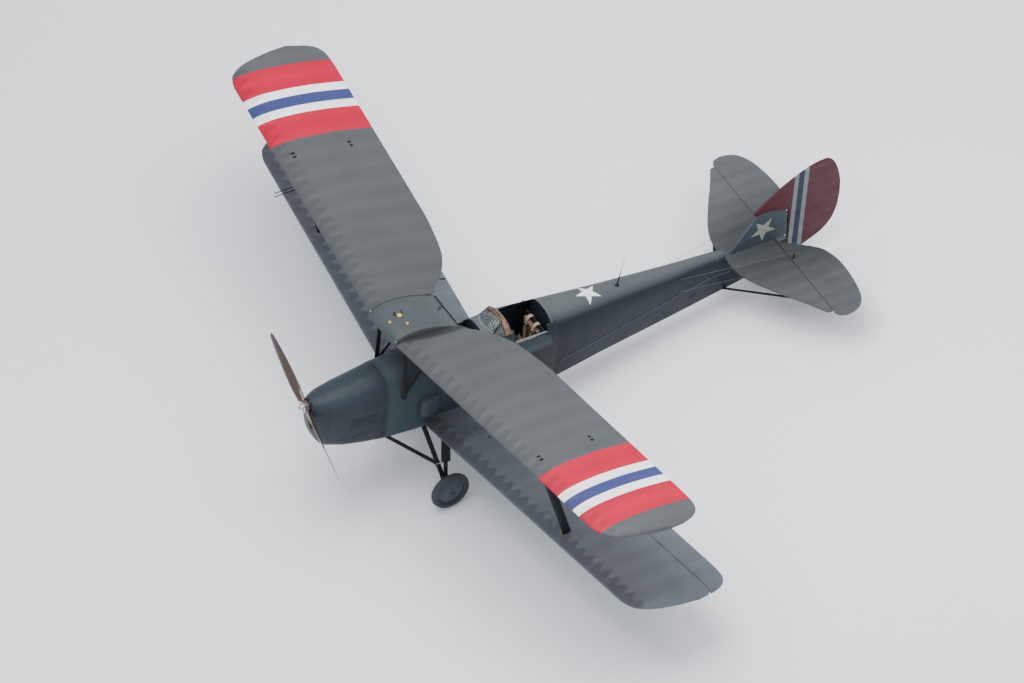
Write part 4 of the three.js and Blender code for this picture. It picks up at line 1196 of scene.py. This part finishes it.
def tank_details():
    """Caps, vents, pipes, joint straps and corner fittings of the fuel tank."""
    tank = Surface("fuel_tank")
    caps, rings = Parts(), Parts()
    for x, y, radius in TANK_CAPS:
        place, normal = tank.hit((x, y, 2), DOWN)
        foot = place - normal * 0.003
        caps.turned(foot, normal, sized(TANK_CAP, radius))
        rings.turned(foot, normal, sized(CAP_RING, radius))
    for x, y, tall in TANK_VENTS:
        foot = tank.deck(x, y, -0.002)
        vent = [(0, 0.012), (0.006, 0.012), (0.008, 0.006), (tall, 0.006), (tall + 0.002, 0.004)]
        rings.turned(foot, UP, vent, 10)
        rings.bar([foot + Vector((0, 0, tall)), foot + Vector((0, -0.022, tall + 0.008))], 0.0065)
    caps.build("tank_caps", "cap_yellow")
    rings.build("tank_cap_rings", "black")
    pipes = Parts()
    pipes.bar(arc([tank.deck(x, 1.955, 0.007) for x in (-0.285, -0.16, -0.02, 0.12, 0.285)], 4), PIPE)
    branch = ((-0.085, 1.94), (-0.060, 1.90), (-0.004, 1.835))
    pipes.bar(arc([tank.deck(x, y, 0.006) for x, y in branch], 4), PIPE)
    pipes.build("tank_pipes", "black")
    seam = Parts()
    seam.bar([tank.deck(mix(-0.004, 0.153, t / 5), mix(1.835, 1.74, t / 5), 0.001) for t in range(6)],
             0.003, 6, 0.4)
    seam.build("tank_seam", "tank")
    straps, corners = Parts(), Parts()
    for side in SIDES.values():
        path = [tank.deck(side * 0.292, 1.075 + 0.03 * i, 0.0015) for i in range(30)]
        straps.bar([spot for spot in path if spot], 0.0045, 8, 0.35)
        for y in (1.088, 1.965):
            place = tank.deck(side * 0.285, y, 0.006)
            corners.turned(place, UP, TANK_STUD, 10)
            corners.block(place + Vector((0.008 * side, 0, -0.002)), (0.024, 0.014, 0.006))
    straps.build("tank_straps", "black")
    corners.build("tank_corner_fittings", "dull_metal")


def strut_plates():
    """Plates and pins where the struts and stays meet the wings, and a tie plate near each lower root."""
    pins = Parts()
    for name, side in SIDES.items():
        lower = Surface(f"lower_wing_{name}")
        for wing, surface, outward in ((UPPER, Surface(f"upper_wing_{name}"), 1), (LOWER, lower, -1)):
            for spar in (FRONT_SPAR, REAR_SPAR):
                for shift in (-0.030, 0.030):
                    spot = wing_place(wing, side) @ Vector((STRUT_STATION + shift, spar, 0))
                    hit, normal = surface.hit(spot + Vector((0, 0, outward)), (0, 0, -outward))
                    pins.turned(hit - normal * 0.004, normal, STRUT_PIN, 10)
                    pins.block(hit + normal * 0.001, (0.026, 0.052, 0.006))
        line = []
        for c in (1.225, 1.250, 1.275, 1.300, 1.318):
            spot = wing_place(LOWER, side) @ Vector((1.79, c, 0))
            line.append(lower.hit(spot + Vector(UP), DOWN, 0.0012)[0])
        pins.ribbon(line, 0.022, PORT, 0.003)
    pins.build("strut_plates", "black")


# Cockpits. Columns: name, front, rear, start of the doors, crown of the deck at the screen's top
COCKPITS = (
    ("front", 1.830, 2.410, 1.905, 0.2778),
    ("rear", 2.730, 3.300, 2.790, 0.3395),
)
SCREEN = {"foot": -0.255, "head": -0.070, "sweep": 0.065, "foot_half": 0.165, "head_half": 0.145,
          "rise": 0.095, "fall": 0.035, "glass": 0.007}
FLOOR = -0.672
DIALS = (  # x, z, radius
    (-0.170, 0.012, 0.040), (-0.058, 0.030, 0.048), (0.062, 0.030, 0.044), (0.172, 0.010, 0.036),
    (0.002, -0.036, 0.020),
)
CLOTH_FRAMES = 20
CLOTH_PRESSURE = 4


def applied(made):
    """Replaces an object's mesh by what its modifiers make of it."""
    view = bpy.context.evaluated_depsgraph_get()
    data = bpy.data.meshes.new_from_object(made.evaluated_get(view))
    made.modifiers.clear()
    old = made.data
    made.data = data
    data.name = made.name
    bpy.data.meshes.remove(old)


def blown_up(made, cap):
    """Lets an object's cloth swell for some frames, and holds each of its points within a cap."""
    start = [v.co.copy() for v in made.data.vertices]
    cloth = made.modifiers.new("cloth", "CLOTH")
    cloth.settings.use_pressure = True
    cloth.settings.uniform_pressure_force = CLOTH_PRESSURE
    cloth.settings.effector_weights.gravity = 0
    cloth.point_cache.frame_start = 1
    cloth.point_cache.frame_end = CLOTH_FRAMES
    for number in range(1, CLOTH_FRAMES + 1):
        bpy.context.scene.frame_set(number)
    applied(made)
    for vert, before in zip(made.data.vertices, start):
        moved = vert.co - before
        if moved.length > cap:
            vert.co = before + moved.normalized() * cap
    bpy.context.scene.frame_set(1)


def stuffed(name, shape, look, voxel, cap, node=None):
    """A padded piece: remeshed, blown up as cloth, capped, and smoothed."""
    made = placed(name, poured(shape, bpy.data.meshes.new(name)))
    remesh = made.modifiers.new("remesh", "REMESH")
    remesh.mode = "VOXEL"
    remesh.voxel_size = voxel
    applied(made)
    blown_up(made, cap)
    smooth = made.modifiers.new("smooth", "SMOOTH")
    smooth.iterations = 4
    smooth.factor = 0.5
    finer = made.modifiers.new("finer", "SUBSURF")
    finer.levels = 1
    applied(made)
    made.data.materials.clear()
    made.data.materials.append(LOOKS[look])
    for face in made.data.polygons:
        face.use_smooth = True
    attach(made, "airframe")
    if node:
        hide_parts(node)
        REPLACED.add(node)


def cushion(name, low, high, bevel):
    """A block with well rounded edges between two corners, stuffed."""
    shape = bmesh.new()
    bmesh.ops.create_cube(shape, size=1)
    middle = (Vector(low) + Vector(high)) / 2
    size = Vector(high) - Vector(low)
    for vert in shape.verts:
        vert.co = middle + Vector(v * s for v, s in zip(vert.co, size))
    bmesh.ops.bevel(shape, geom=shape.edges[:], offset=bevel, segments=3, profile=0.5, affect="EDGES")
    bmesh.ops.transform(shape, matrix=LEVEL, verts=shape.verts)
    stuffed(name, shape, "seat_leather", 0.006, 0.012)


def screen_foot(front, u):
    """The foot of the windscreen's glass, u from -1 to 1 across it, at height zero."""
    y = front + SCREEN["foot"] + SCREEN["sweep"] * u * u + SCREEN["glass"] / 2
    return Vector((SCREEN["foot_half"] * u, y, 0))


def screen_head(front, crown, u):
    """The head of the windscreen's glass."""
    z = crown + SCREEN["rise"] - SCREEN["fall"] * u * u
    return Vector((SCREEN["head_half"] * u, front + SCREEN["head"] + SCREEN["glass"] / 2, z))


def screen_frame(name, front, crown, deck):
    """Posts, a top rail and a riveted foot strip round a windscreen."""
    bars, strip = Parts(), Parts()
    for side in (-1, 1):
        foot = screen_foot(front, side * 1.03) - Vector((0, 0.005, 0))
        foot.z = deck.deck(foot.x, foot.y).z
        head = screen_head(front, crown, side * 1.03) - Vector((0, 0.005, 0))
        bars.bar([foot - (head - foot).normalized() * 0.004, head], 0.0078)
        bars.turned(foot + Vector((0, 0, -0.003)), UP, SCREEN_STUD, 10)
    spread = [i / 10 for i in range(-10, 11)]
    bars.bar([screen_head(front, crown, u) for u in spread], 0.0042)
    feet = [screen_foot(front, u) for u in spread]
    base = [deck.deck(foot.x, foot.y - 0.006, 0.002) for foot in feet]
    strip.bar(base, 0.0075, 8, 0.55)
    for spot in base[1:20:3]:
        strip.turned(spot + Vector((0, -0.004, 0.001)), UP, RIVET, 8)
    bars.build(f"screen_frame_{name}", "black", "strut_paint")
    strip.build(f"screen_base_{name}", "dull_metal", "bright_metal")


def coaming(name, front, deck):
    """The padded roll over a cockpit's front edge, and the lacing that holds it."""
    stuffed(f"coaming_{name}", cad_shape(f"coaming_pad_{name}"), "tan_leather", 0.005, 0.004,
            f"coaming_pad_{name}")
    lacing = Parts()
    for i in range(-9, 10):
        x = 0.024 * i
        a = deck.deck(x, front - 0.082, 0.0015)
        lacing.bar([a, deck.deck(x + 0.010, front - 0.066, 0.006)], 0.0022, 6)
        lacing.turned(a + Vector((0, -0.003, -0.002)), UP, EYELET, 8)
    lacing.build(f"coaming_lacing_{name}", "canvas", "leather")


def seat(name, rear):
    """Two cushions and a harness, whose buckle lies in the middle."""
    back = rear - 0.080
    cushion(f"seat_cushion_{name}", (-0.176, rear - 0.312, -0.371), (0.176, back - 0.012, -0.312), 0.018)
    cushion(f"back_cushion_{name}", (-0.172, back - 0.052, -0.285), (0.172, back - 0.007, 0.030), 0.016)
    straps, buckle = Parts(), Parts()
    buckle.turned((0, back - 0.109, -0.272), (0, -1, 0.3), HARNESS_BUCKLE, 20)
    for side in (-1, 1):
        over = [(0.075 * side, rear - 0.050, -0.05), (0.075 * side, rear - 0.048, 0.050),
                (0.075 * side, back + 0.004, 0.074), (0.074 * side, back - 0.045, 0.058),
                (0.070 * side, back - 0.074, -0.03), (0.060 * side, back - 0.080, -0.16),
                (0.040 * side, back - 0.086, -0.255)]
        straps.ribbon(arc(over, 5), 0.044, PORT)
        lap = [(0.190 * side, back - 0.05, -0.330), (0.172 * side, back - 0.085, -0.288),
               (0.105 * side, back - 0.105, -0.278), (0.025 * side, back - 0.112, -0.276)]
        straps.ribbon(arc(lap, 5), 0.044, (0, 0.35, 1))
        buckle.block((0.072 * side, back - 0.077, -0.035), (0.056, 0.006, 0.030))
    straps.build(f"harness_{name}", "canvas", "leather")
    buckle.build(f"harness_buckle_{name}", "steel", "bright_metal")


def dials(name, front):
    """Round instruments with rims, screws, marks and a pointer."""
    face = front + 0.018
    rims, faces, marks = Parts(), Parts(), Parts()
    for x, z, size in DIALS:
        rims.turned((x, face - 0.001, z), AFT, sized(DIAL_RIM, size), 28)
        faces.turned((x, face + 0.0055, z), AFT, sized(DIAL_FACE, size), 28)
        middle = Vector((x, face + 0.0068, z))
        for i in range(12):
            spoke = compass_point(30 * i)
            ends = [middle + spoke * size * 0.66, middle + spoke * size * 0.78]
            marks.bar(ends, size * 0.022, 4, 0.5, AFT)
        middle = Vector((x, face + 0.0075, z))
        spoke = compass_point(40 + 900 * x)
        marks.bar([middle - spoke * size * 0.18, middle + spoke * size * 0.6], [size * 0.05, size * 0.012],
                  6, 0.4, AFT)
        for k in range(3):
            screw = Vector((x, face - 0.001, z)) + compass_point(120 * k + 60) * size * 1.14
            rims.turned(screw, AFT, DIAL_SCREW, 8)
    rims.build(f"dial_rims_{name}", "black", "strut_paint")
    faces.build(f"dial_faces_{name}", "dial_black", "strut_paint")
    marks.build(f"dial_marks_{name}", "star_white", "bright_metal")


def controls(name, front):
    """A stick, a rudder bar with its pedals and a throttle lever, with rubber grips."""
    levers, grips = Parts(), Parts()
    stick, bar, throttle = front + 0.185, front + 0.075, front + 0.20
    levers.turned((0, stick, FLOOR + 0.001), UP, STICK_FOOT)
    levers.bar([(0, stick, FLOOR + 0.03), (0, stick + 0.015, -0.42), (0, stick + 0.055, -0.20)],
               [0.013, 0.012, 0.011], 12)
    levers.bar([(-0.19, bar, -0.585), (0.19, bar, -0.585)], 0.013, 12)
    levers.bar([(0, bar, FLOOR), (0, bar, -0.575)], 0.016, 12)
    for side in (-1, 1):
        levers.block((0.155 * side, bar + 0.020, -0.575), (0.075, 0.022, 0.055))
    levers.bar([(0.272, throttle, -0.14), (0.240, throttle, -0.13)], 0.014, 12)
    levers.bar([(0.246, throttle, -0.13), (0.246, throttle - 0.03, -0.035)], 0.005)
    levers.build(f"controls_{name}", "black", "strut_paint")
    grips.turned((0, stick + 0.051, -0.215), (0, 0.18, 1), STICK_GRIP)
    grips.turned((0.246, throttle - 0.032, -0.036), (0, -0.3, 1), THROTTLE_GRIP, 16)
    grips.build(f"grips_{name}", "tyre_rubber", "tyre")


def door_sills(name, door, deck):
    """The strip under each door's opening; the rear port one is bright metal, worn and with a painted highlight
    along its edge.
    """
    for place, side in SIDES.items():
        sill = Parts()
        sill.block((0.2575 * side, door + 0.225, 0.1018), (0.020, 0.430, 0.0032))
        sill.bar([deck.side(y, 0.085, side, 0.0015) for y in (door - 0.03, door + 0.10)], 0.0032, 6)
        # The rear port sill is bright metal: worn, and painted brighter as a highlight along its edge
        bright = name == "rear" and place == "port"
        sill.build(f"door_sill_{name}_{place}", "dull_metal" if bright else "cowl", "bright_metal")


def door_latches():
    """Two latches on each cockpit door. The rear port door is folded down, its inside up."""
    for place, _, _, door, _ in COCKPITS:
        for name, side in SIDES.items():
            latch = Parts()
            shell = Surface(f"door_{place}_{name}")
            for y in (door + 0.055, door + 0.395):
                if place == "rear" and name == "port":
                    hit, normal = shell.hit((0.36, y, -0.5), UP)
                else:
                    hit, normal = shell.hit((2 * side, y, 0.185), (-side, 0, 0))
                if hit is None:
                    continue
                latch.turned(hit - normal * 0.002, normal, LATCH, 14)
                middle = hit + normal * 0.011
                latch.bar([middle - Vector((0, 0.018, 0)), middle + Vector((0, 0.018, 0))], 0.0045)
            if latch.verts:
                latch.build(f"latch_{place}_{name}", "dull_metal", "bright_metal", f"door_{place}_{name}")


# Nose
COLLAR = ((0.126, 0.066), (0.126, 0.086), (0.132, 0.092), (0.152, 0.094), (0.152, 0.066))
PROPELLER = {"angle": -62, "y": 0.092}
SHEATH_SKIN = 0.0008
SHEATH = (  # radius, chord, thickness and blade angle where the metal edge runs
    (0.560, 0.130, 0.0205, 24), (0.650, 0.124, 0.017, 21), (0.820, 0.098, 0.012, 18),
    (0.920, 0.066, 0.009, 16), (0.955, 0.030, 0.006, 15),
)
SEAM_START = 0.36
EXHAUST = ((-0.160, 0.58, -0.48), (-0.262, 0.66, -0.56), (-0.292, 0.80, -0.65), (-0.292, 0.93, -0.745))


def nose_details():
    """The seams, buttons, louvres and collar of the cowling, and the exhaust stub."""
    cowl = Surface("cowling")
    seams, buttons, louvres = Parts(), Parts(), Parts()
    for y, width in ((0.325, 0.012), (1.050, 0.034)):
        seams.ribbon(cowl.girdle(y), width, AFT, 0.0022)
    seams.ribbon([cowl.deck(0, SEAM_START + 0.05 * i, 0.001) for i in range(14)], 0.016, PORT, 0.003)
    for side in SIDES.values():
        for z in (-0.128, -0.520):
            line = [cowl.side(SEAM_START + 0.0515 * i, z, side, PAINT_LIFT) for i in range(14)]
            seams.ribbon(line, 0.014, UP, 0.0024)
            for spot in line[1::3]:
                buttons.turned(spot, (side, 0, 0), COWL_BUTTON, 12)
                buttons.block(spot + Vector((0.0055 * side, 0, 0)), (0.004, 0.004, 0.015))
        for i in range(8):
            spot = cowl.side(0.62 + 0.043 * i, -0.300, side, 0.002)
            louvres.block(spot, (0.012, 0.026, 0.110), Matrix.Rotation(math.radians(-20 * side), 3, "Z"))
    seams.build("cowl_seams", "cowl", "cowl_paint")
    buttons.build("cowl_buttons", "disc_paint", "cowl_paint")
    louvres.build("cowl_louvres", "cowl", "cowl_paint")
    collar = Parts()
    collar.hoop((0, 0, 0), AFT, COLLAR, 40)
    collar.build("nose_collar", "navy", "cowl_paint")
    exhaust = Parts()
    path = arc(EXHAUST, 5)
    exhaust.bar(path, 0.027, 16)
    lip = [(-0.012, 0.020), (-0.012, 0.030), (0.006, 0.0305), (0.006, 0.020)]
    exhaust.hoop(path[-1], path[-1] - path[-2], lip, 20)
    exhaust.build("exhaust", "burnt_metal", "engine_metal")


def hub_plates():
    """The two plates of the propeller's hub, and the bolts on the front one."""
    plates = Parts()
    for low, high in ((0.0575, 0.0630), (0.1210, 0.1250)):
        profile = [(low, 0.047), (low, 0.068), (low + 0.0012, 0.070), (high, 0.070), (high, 0.047)]
        plates.hoop((0, 0, 0), AFT, profile)
    for i in range(8):
        angle = math.radians(45 * i + 20)
        spot = Vector((0.058 * math.sin(angle), 0.0585, 0.058 * math.cos(angle)))
        plates.turned(spot, (0, -1, 0), HUB_BOLT, 6)
    plates.build("hub_plates", "steel", "bright_metal", "propeller")


def blade_sheaths():
    """The metal edges of the propeller's blades."""
    sheaths = Parts()
    for half in (0, 180):
        turn = Matrix.Rotation(math.radians(half + PROPELLER["angle"]), 3, "Y")
        rings = []
        for radius, chord, thick, angle in SHEATH:
            tilt = math.radians(angle)
            ring = []
            for i in range(9):
                round_edge = math.pi + (i / 4 - 1) * 0.85
                u = (chord / 2 + SHEATH_SKIN) * math.cos(round_edge)
                w = (thick / 2 + SHEATH_SKIN) * math.sin(round_edge)
                x, y = u * math.cos(tilt) - w * math.sin(tilt), u * math.sin(tilt) + w * math.cos(tilt)
                ring.append(turn @ Vector((x, PROPELLER["y"] + y, radius)))
            rings.append(ring)
        sheaths.rings(rings)
    sheaths.build("blade_sheaths", "dull_metal", "bright_metal", "propeller", 60)


# Fuselage
JOINT_STRIPS = ((1.092, 0.030), (3.380, 0.050), (5.690, 0.026))  # distance aft, width
SIDE_PATCHES = ((4.30, -0.36), (5.35, -0.33))
SIDE_CABLE = ((3.42, -0.445), (5.60, -0.150))
LACING = {"start": 3.47, "pitch": 0.045, "count": 56, "half_width": 0.011, "slant": 0.022}


def fuselage_details():
    """Joint strips and patches, belly lacing, and the cables along the sides."""
    hull = Surface("fuselage_front", "fuselage_rear")
    strips, lacing, cables, leads = Parts(), Parts(), Parts(), Parts()
    for y, width in JOINT_STRIPS:
        strips.ribbon(hull.girdle(y), width, AFT, 0.0024)
    for side in SIDES.values():
        for y, z in SIDE_PATCHES:
            hit, normal = hull.hit((2 * side, y, z), (-side, 0, 0))
            strips.turned(hit, normal, SIDE_PATCH, 28)
    strips.build("fuselage_strips", "hull", "hull_paint")
    half = LACING["half_width"]
    for i in range(LACING["count"]):
        y = LACING["start"] + LACING["pitch"] * i
        ends = [(-half, y, -2), (half, y + LACING["slant"], -2)]
        ends = [hull.hit(end, UP, 0.001)[0] for end in ends]
        lacing.bar(ends, 0.0018, 6)
    lacing.build("belly_lacing", "canvas", "hull_paint")
    (y0, z0), (y1, z1) = SIDE_CABLE
    for side in SIDES.values():
        line = [hull.side(mix(y0, y1, t / 12), mix(z0, z1, t / 12), side, 0.005) for t in range(13)]
        cables.bar(line, 0.0024, 6)
        for spot in line[::4]:
            leads.turned(spot - Vector((0.007 * side, 0, 0)), (side, 0, 0), CABLE_LEAD, 12)
    cables.build("side_cables", "cable", "bright_metal")
    leads.build("cable_leads", "black", "strut_paint")


# Rigging
STAY_TIP = STRUT_STATION - 0.075
STAY_ROOT = 0.350
FORK = ((0.075, 0.0085), (0.150, 0.0085), (0.160, 0.005))  # distance from the stay's end, radius
BUCKLE = ((0.185, 0.0045), (0.200, 0.0088), (0.290, 0.0088), (0.305, 0.0045))
HORN_FOOT = (2.70, 1.06, 0)


def aileron_horns():
    """The horns above and below each aileron."""
    for name, side in SIDES.items():
        horn = Parts()
        shell = Surface(f"aileron_{name}")
        foot = wing_place(LOWER, side) @ Vector(HORN_FOOT)
        for outward in (1, -1):
            hit, normal = shell.hit(foot + Vector((0, 0, 0.5 * outward)), (0, 0, -outward))
            tip = hit + normal * 0.085 + Vector((0, -0.035, 0))
            line = [hit - normal * 0.004, hit.lerp(tip, 0.5), tip]
            horn.bar(line, [0.030, 0.016, 0.007], 8, 0.16, PORT)
            horn.turned(tip - Vector((0.007, 0, 0)), PORT, HORN_PIN, 10)
        horn.build(f"aileron_horn_{name}", "black", "strut_paint", f"aileron_{name}")


def spar_point(wing, side, station, spar):
    """A point in the middle of a wing's spar."""
    return wing_place(wing, side) @ Vector((station, spar, wing["spar_height"]))


def strut_cuffs():
    """A streamlined cuff with a pin at both ends of each interplane strut."""
    cuffs = Parts()
    for name, side in SIDES.items():
        lower, upper = Surface(f"lower_wing_{name}"), Surface(f"upper_wing_{name}")
        for spar in (FRONT_SPAR, REAR_SPAR):
            foot, head = [spar_point(wing, side, STRUT_STATION, spar) for wing in (LOWER, UPPER)]
            along = (head - foot).normalized()
            bottom, _ = lower.hit(foot + along * 0.4, -along)
            top, _ = upper.hit(head - along * 0.4, along)
            for spot, way in ((bottom, along), (top, -along)):
                cuffs.bar([spot - way * 0.006, spot + way * 0.046, spot + way * 0.052],
                          [0.0580, 0.0575, 0.0550], 20, 0.345, PORT)
                cuffs.turned(spot + way * 0.024 + Vector((0.016 * side, 0, 0)), (side, 0, 0), CUFF_PIN, 10)
    cuffs.build("strut_cuffs", "black", "strut_paint")


def turnbuckles():
    """A fork and a turnbuckle near both ends of every stay between the wings."""
    forks = Parts()
    for side in SIDES.values():
        for spar in (FRONT_SPAR, REAR_SPAR):
            for inner, outer in ((LOWER, UPPER), (UPPER, LOWER)):
                station = STAY_ROOT + spar * math.sin(math.radians(inner["sweep"]))
                root = spar_point(inner, side, station, spar)
                tip = spar_point(outer, side, STAY_TIP, spar)
                for start, end in ((root, tip), (tip, root)):
                    way = (end - start).normalized()
                    for profile in (FORK, BUCKLE):
                        line = [start + way * along for along, _ in profile]
                        forks.bar(line, [radius for _, radius in profile])
    forks.build("turnbuckles", "wire", "bright_metal")


# Landing gear
AXLE = (Vector((0.262, 1.600, -0.690)), Vector((0.702, 1.720, -1.374)))
AXLE_OUT = Vector((0.841, 0, 0.541))
SKID_LEG = (Vector((0, 6.520, -0.340)), Vector((0, 6.330, -0.570)))


def mirrored(spot, side):
    """A point of the port side, or its like to starboard."""
    return Vector((spot[0] * side, spot[1], spot[2]))


def wheel_screws(name, side):
    """The screws on both faces of a wheel's disc, its valve, and two raised rings on its outside."""
    screws = Parts()
    for i in range(16):
        angle = math.radians(22.5 * i)
        for face in (1, -1):
            spot = WHEEL + Vector((face * 0.0235, 0.155 * math.sin(angle), 0.155 * math.cos(angle)))
            screws.turned(mirrored(spot, side), (face * side, 0, 0), DISC_SCREW, 8)
    screws.turned(mirrored(WHEEL + Vector((0.028, 0.095, 0.062)), side), (side, 0, 0), VALVE, 10)
    for reach in (0.0560, 0.1180):
        lift = mix(0.050, 0.024, (reach - 0.040) / 0.127)
        screws.hoop(mirrored(WHEEL, side), (side, 0, 0),
                    [(lift - 0.003, reach - 0.004), (lift + 0.0018, reach - 0.002),
                     (lift + 0.0014, reach + 0.002), (lift - 0.004, reach + 0.004)], 36)
    screws.build(f"wheel_screws_{name}", "disc_paint", "strut_paint", f"wheel_{name}")


def axle_fittings():
    """The cuffs and bolts along each axle, and the nut at its end."""
    cuffs, nuts, bolts = Parts(), Parts(), Parts()
    for side in SIDES.values():
        nuts.turned((0.8665 * side, 1.72, -1.38), (side, 0, 0), AXLE_NUT, 6)
        for share, size in ((0.655, 0.013), (0.870, 0.015)):
            for aft in (-0.014, 0.014):
                head = AXLE[0].lerp(AXLE[1], share) + AXLE_OUT * 0.010 + Vector((0, aft, 0))
                bolts.turned(mirrored(head, side), mirrored(AXLE_OUT, side), sized(AXLE_BOLT, size), 8)
            ends = [mirrored(AXLE[0].lerp(AXLE[1], share + shift), side) for shift in (-0.024, 0.024)]
            cuffs.bar(ends, 0.0345, 16, 0.56, (1, 0, 0.65))
    cuffs.build("axle_cuffs", "black", "strut_paint")
    nuts.build("axle_nuts", "disc_paint", "strut_paint")
    bolts.build("axle_bolts", "steel", "bright_metal")


def skid_rubbers():
    """The rubber rings that spring the tail skid."""
    rings = Parts()
    top, foot = SKID_LEG
    angles = [math.radians(45 * k) for k in range(8)]
    section = [(0.009 * math.cos(a), 0.024 + 0.009 * math.sin(a)) for a in angles]
    for i in range(7):
        rings.hoop(top.lerp(foot, 0.34 + 0.075 * i), foot - top, section, 24)
    rings.build("skid_rubbers", "tyre_rubber", "tyre")


# Stage
CAMERA = {  # the place and directions are of the level frame
    "target": (0.2568, 2.7525, 0.1372),
    "direction": (0.58893, -0.41483, 0.69360),
    "down": (0.62633, -0.30810, -0.71609),
    "distance": 297.22,
    "lens": 892.9,
}
LAMPS = (  # name, place, width, power
    ("key", (0.8, -1.5, 15), 12, 2250),
    ("fill", (7, 7, 11), 12, 700),
)
FLOOR_HALF = 60


def set_camera():
    """The photograph's view, from far away through a long lens."""
    data = bpy.data.cameras.new("camera")
    data.lens = CAMERA["lens"]
    data.sensor_width = 36
    data.clip_start = 1
    data.clip_end = 900
    made = placed("camera", data)
    turn = LEVEL.to_3x3()
    back = (turn @ Vector(CAMERA["direction"])).normalized()
    up = -(turn @ Vector(CAMERA["down"]))
    right = up.cross(back).normalized()
    up = back.cross(right)
    place = LEVEL @ Vector(CAMERA["target"]) + back * CAMERA["distance"]
    made.matrix_world = Matrix.Translation(place) @ Matrix((right, up, back)).transposed().to_4x4()
    bpy.context.scene.camera = made


def set_stage():
    """A plain pale floor, a pale sky and two broad soft lamps."""
    data = bpy.data.meshes.new("floor")
    corners = [(x * FLOOR_HALF, y * FLOOR_HALF, 0) for x, y in ((-1, -1), (1, -1), (1, 1), (-1, 1))]
    data.from_pydata(corners, [], [(0, 1, 2, 3)])
    shade = Shade("floor")
    cloud = shade.patchy(shade.place(), 0.35, 0, 1, 3)
    tone = shade.mix(cloud, (0.955, 0.97, 0.995), (0.97, 0.985, 1.0))
    data.materials.append(shade.finish(tone, 0.75, specular=0.2))
    floor = placed("floor", data)
    world = bpy.data.worlds.new("sky")
    world.use_nodes = True
    sky = world.node_tree.nodes["Background"]
    sky.inputs["Color"].default_value = (0.90, 0.95, 1.03, 1)
    sky.inputs["Strength"].default_value = 1.0
    bpy.context.scene.world = world
    for name, place, size, power in LAMPS:
        lamp = bpy.data.lights.new(name, "AREA")
        lamp.shape = "DISK"
        lamp.size = size
        lamp.energy = power
        made = placed(name, lamp)
        made.location = place
        made.rotation_euler = Vector(place).to_track_quat("Z", "Y").to_euler()


def main():
    set_camera()
    set_stage()
    mix_looks()
    flat_cloth = tail_cloth("tail_cloth_across")
    tail_surface("tailplane", flat_cloth)
    tail_surface("elevators", flat_cloth)
    tail_surface("rudder", rudder_cloth("rudder_cloth_banded"))
    tail_surface("fin", LOOKS["fin_paint"])
    tail_details()
    tank_details()
    strut_plates()
    nose_details()
    hub_plates()
    blade_sheaths()
    fuselage_details()
    aileron_horns()
    strut_cuffs()
    turnbuckles()
    for name, side in SIDES.items():
        wheel_screws(name, side)
    axle_fittings()
    skid_rubbers()
    deck = Surface("fuselage_front")
    for name, front, rear, door, crown in COCKPITS:
        screen_frame(name, front, crown, deck)
        coaming(name, front, deck)
        seat(name, rear)
        dials(name, front)
        controls(name, front)
        door_sills(name, door, deck)
    door_latches()
    gap = (AILERON["inner"], AILERON["outer"])
    for name, side in SIDES.items():
        upper, lower = upper_cloth(name, side), lower_cloth(name, side)
        wing_skin(f"upper_wing_{name}", UPPER, side, UPPER_OUTLINE, None, upper)
        wing_skin(f"lower_wing_{name}", LOWER, side, LOWER_OUTLINE, gap, lower)
        aileron_skin(name, side, lower)
    for node in BODY_OF:
        if node in REPLACED:
            continue
        if node.startswith("stays"):
            look = "wire"
        else:
            look = NODE_LOOKS.get(node) or SLOT_LOOKS[SLOT_OF[node]]
        dress(node, LOOKS[look])


main()
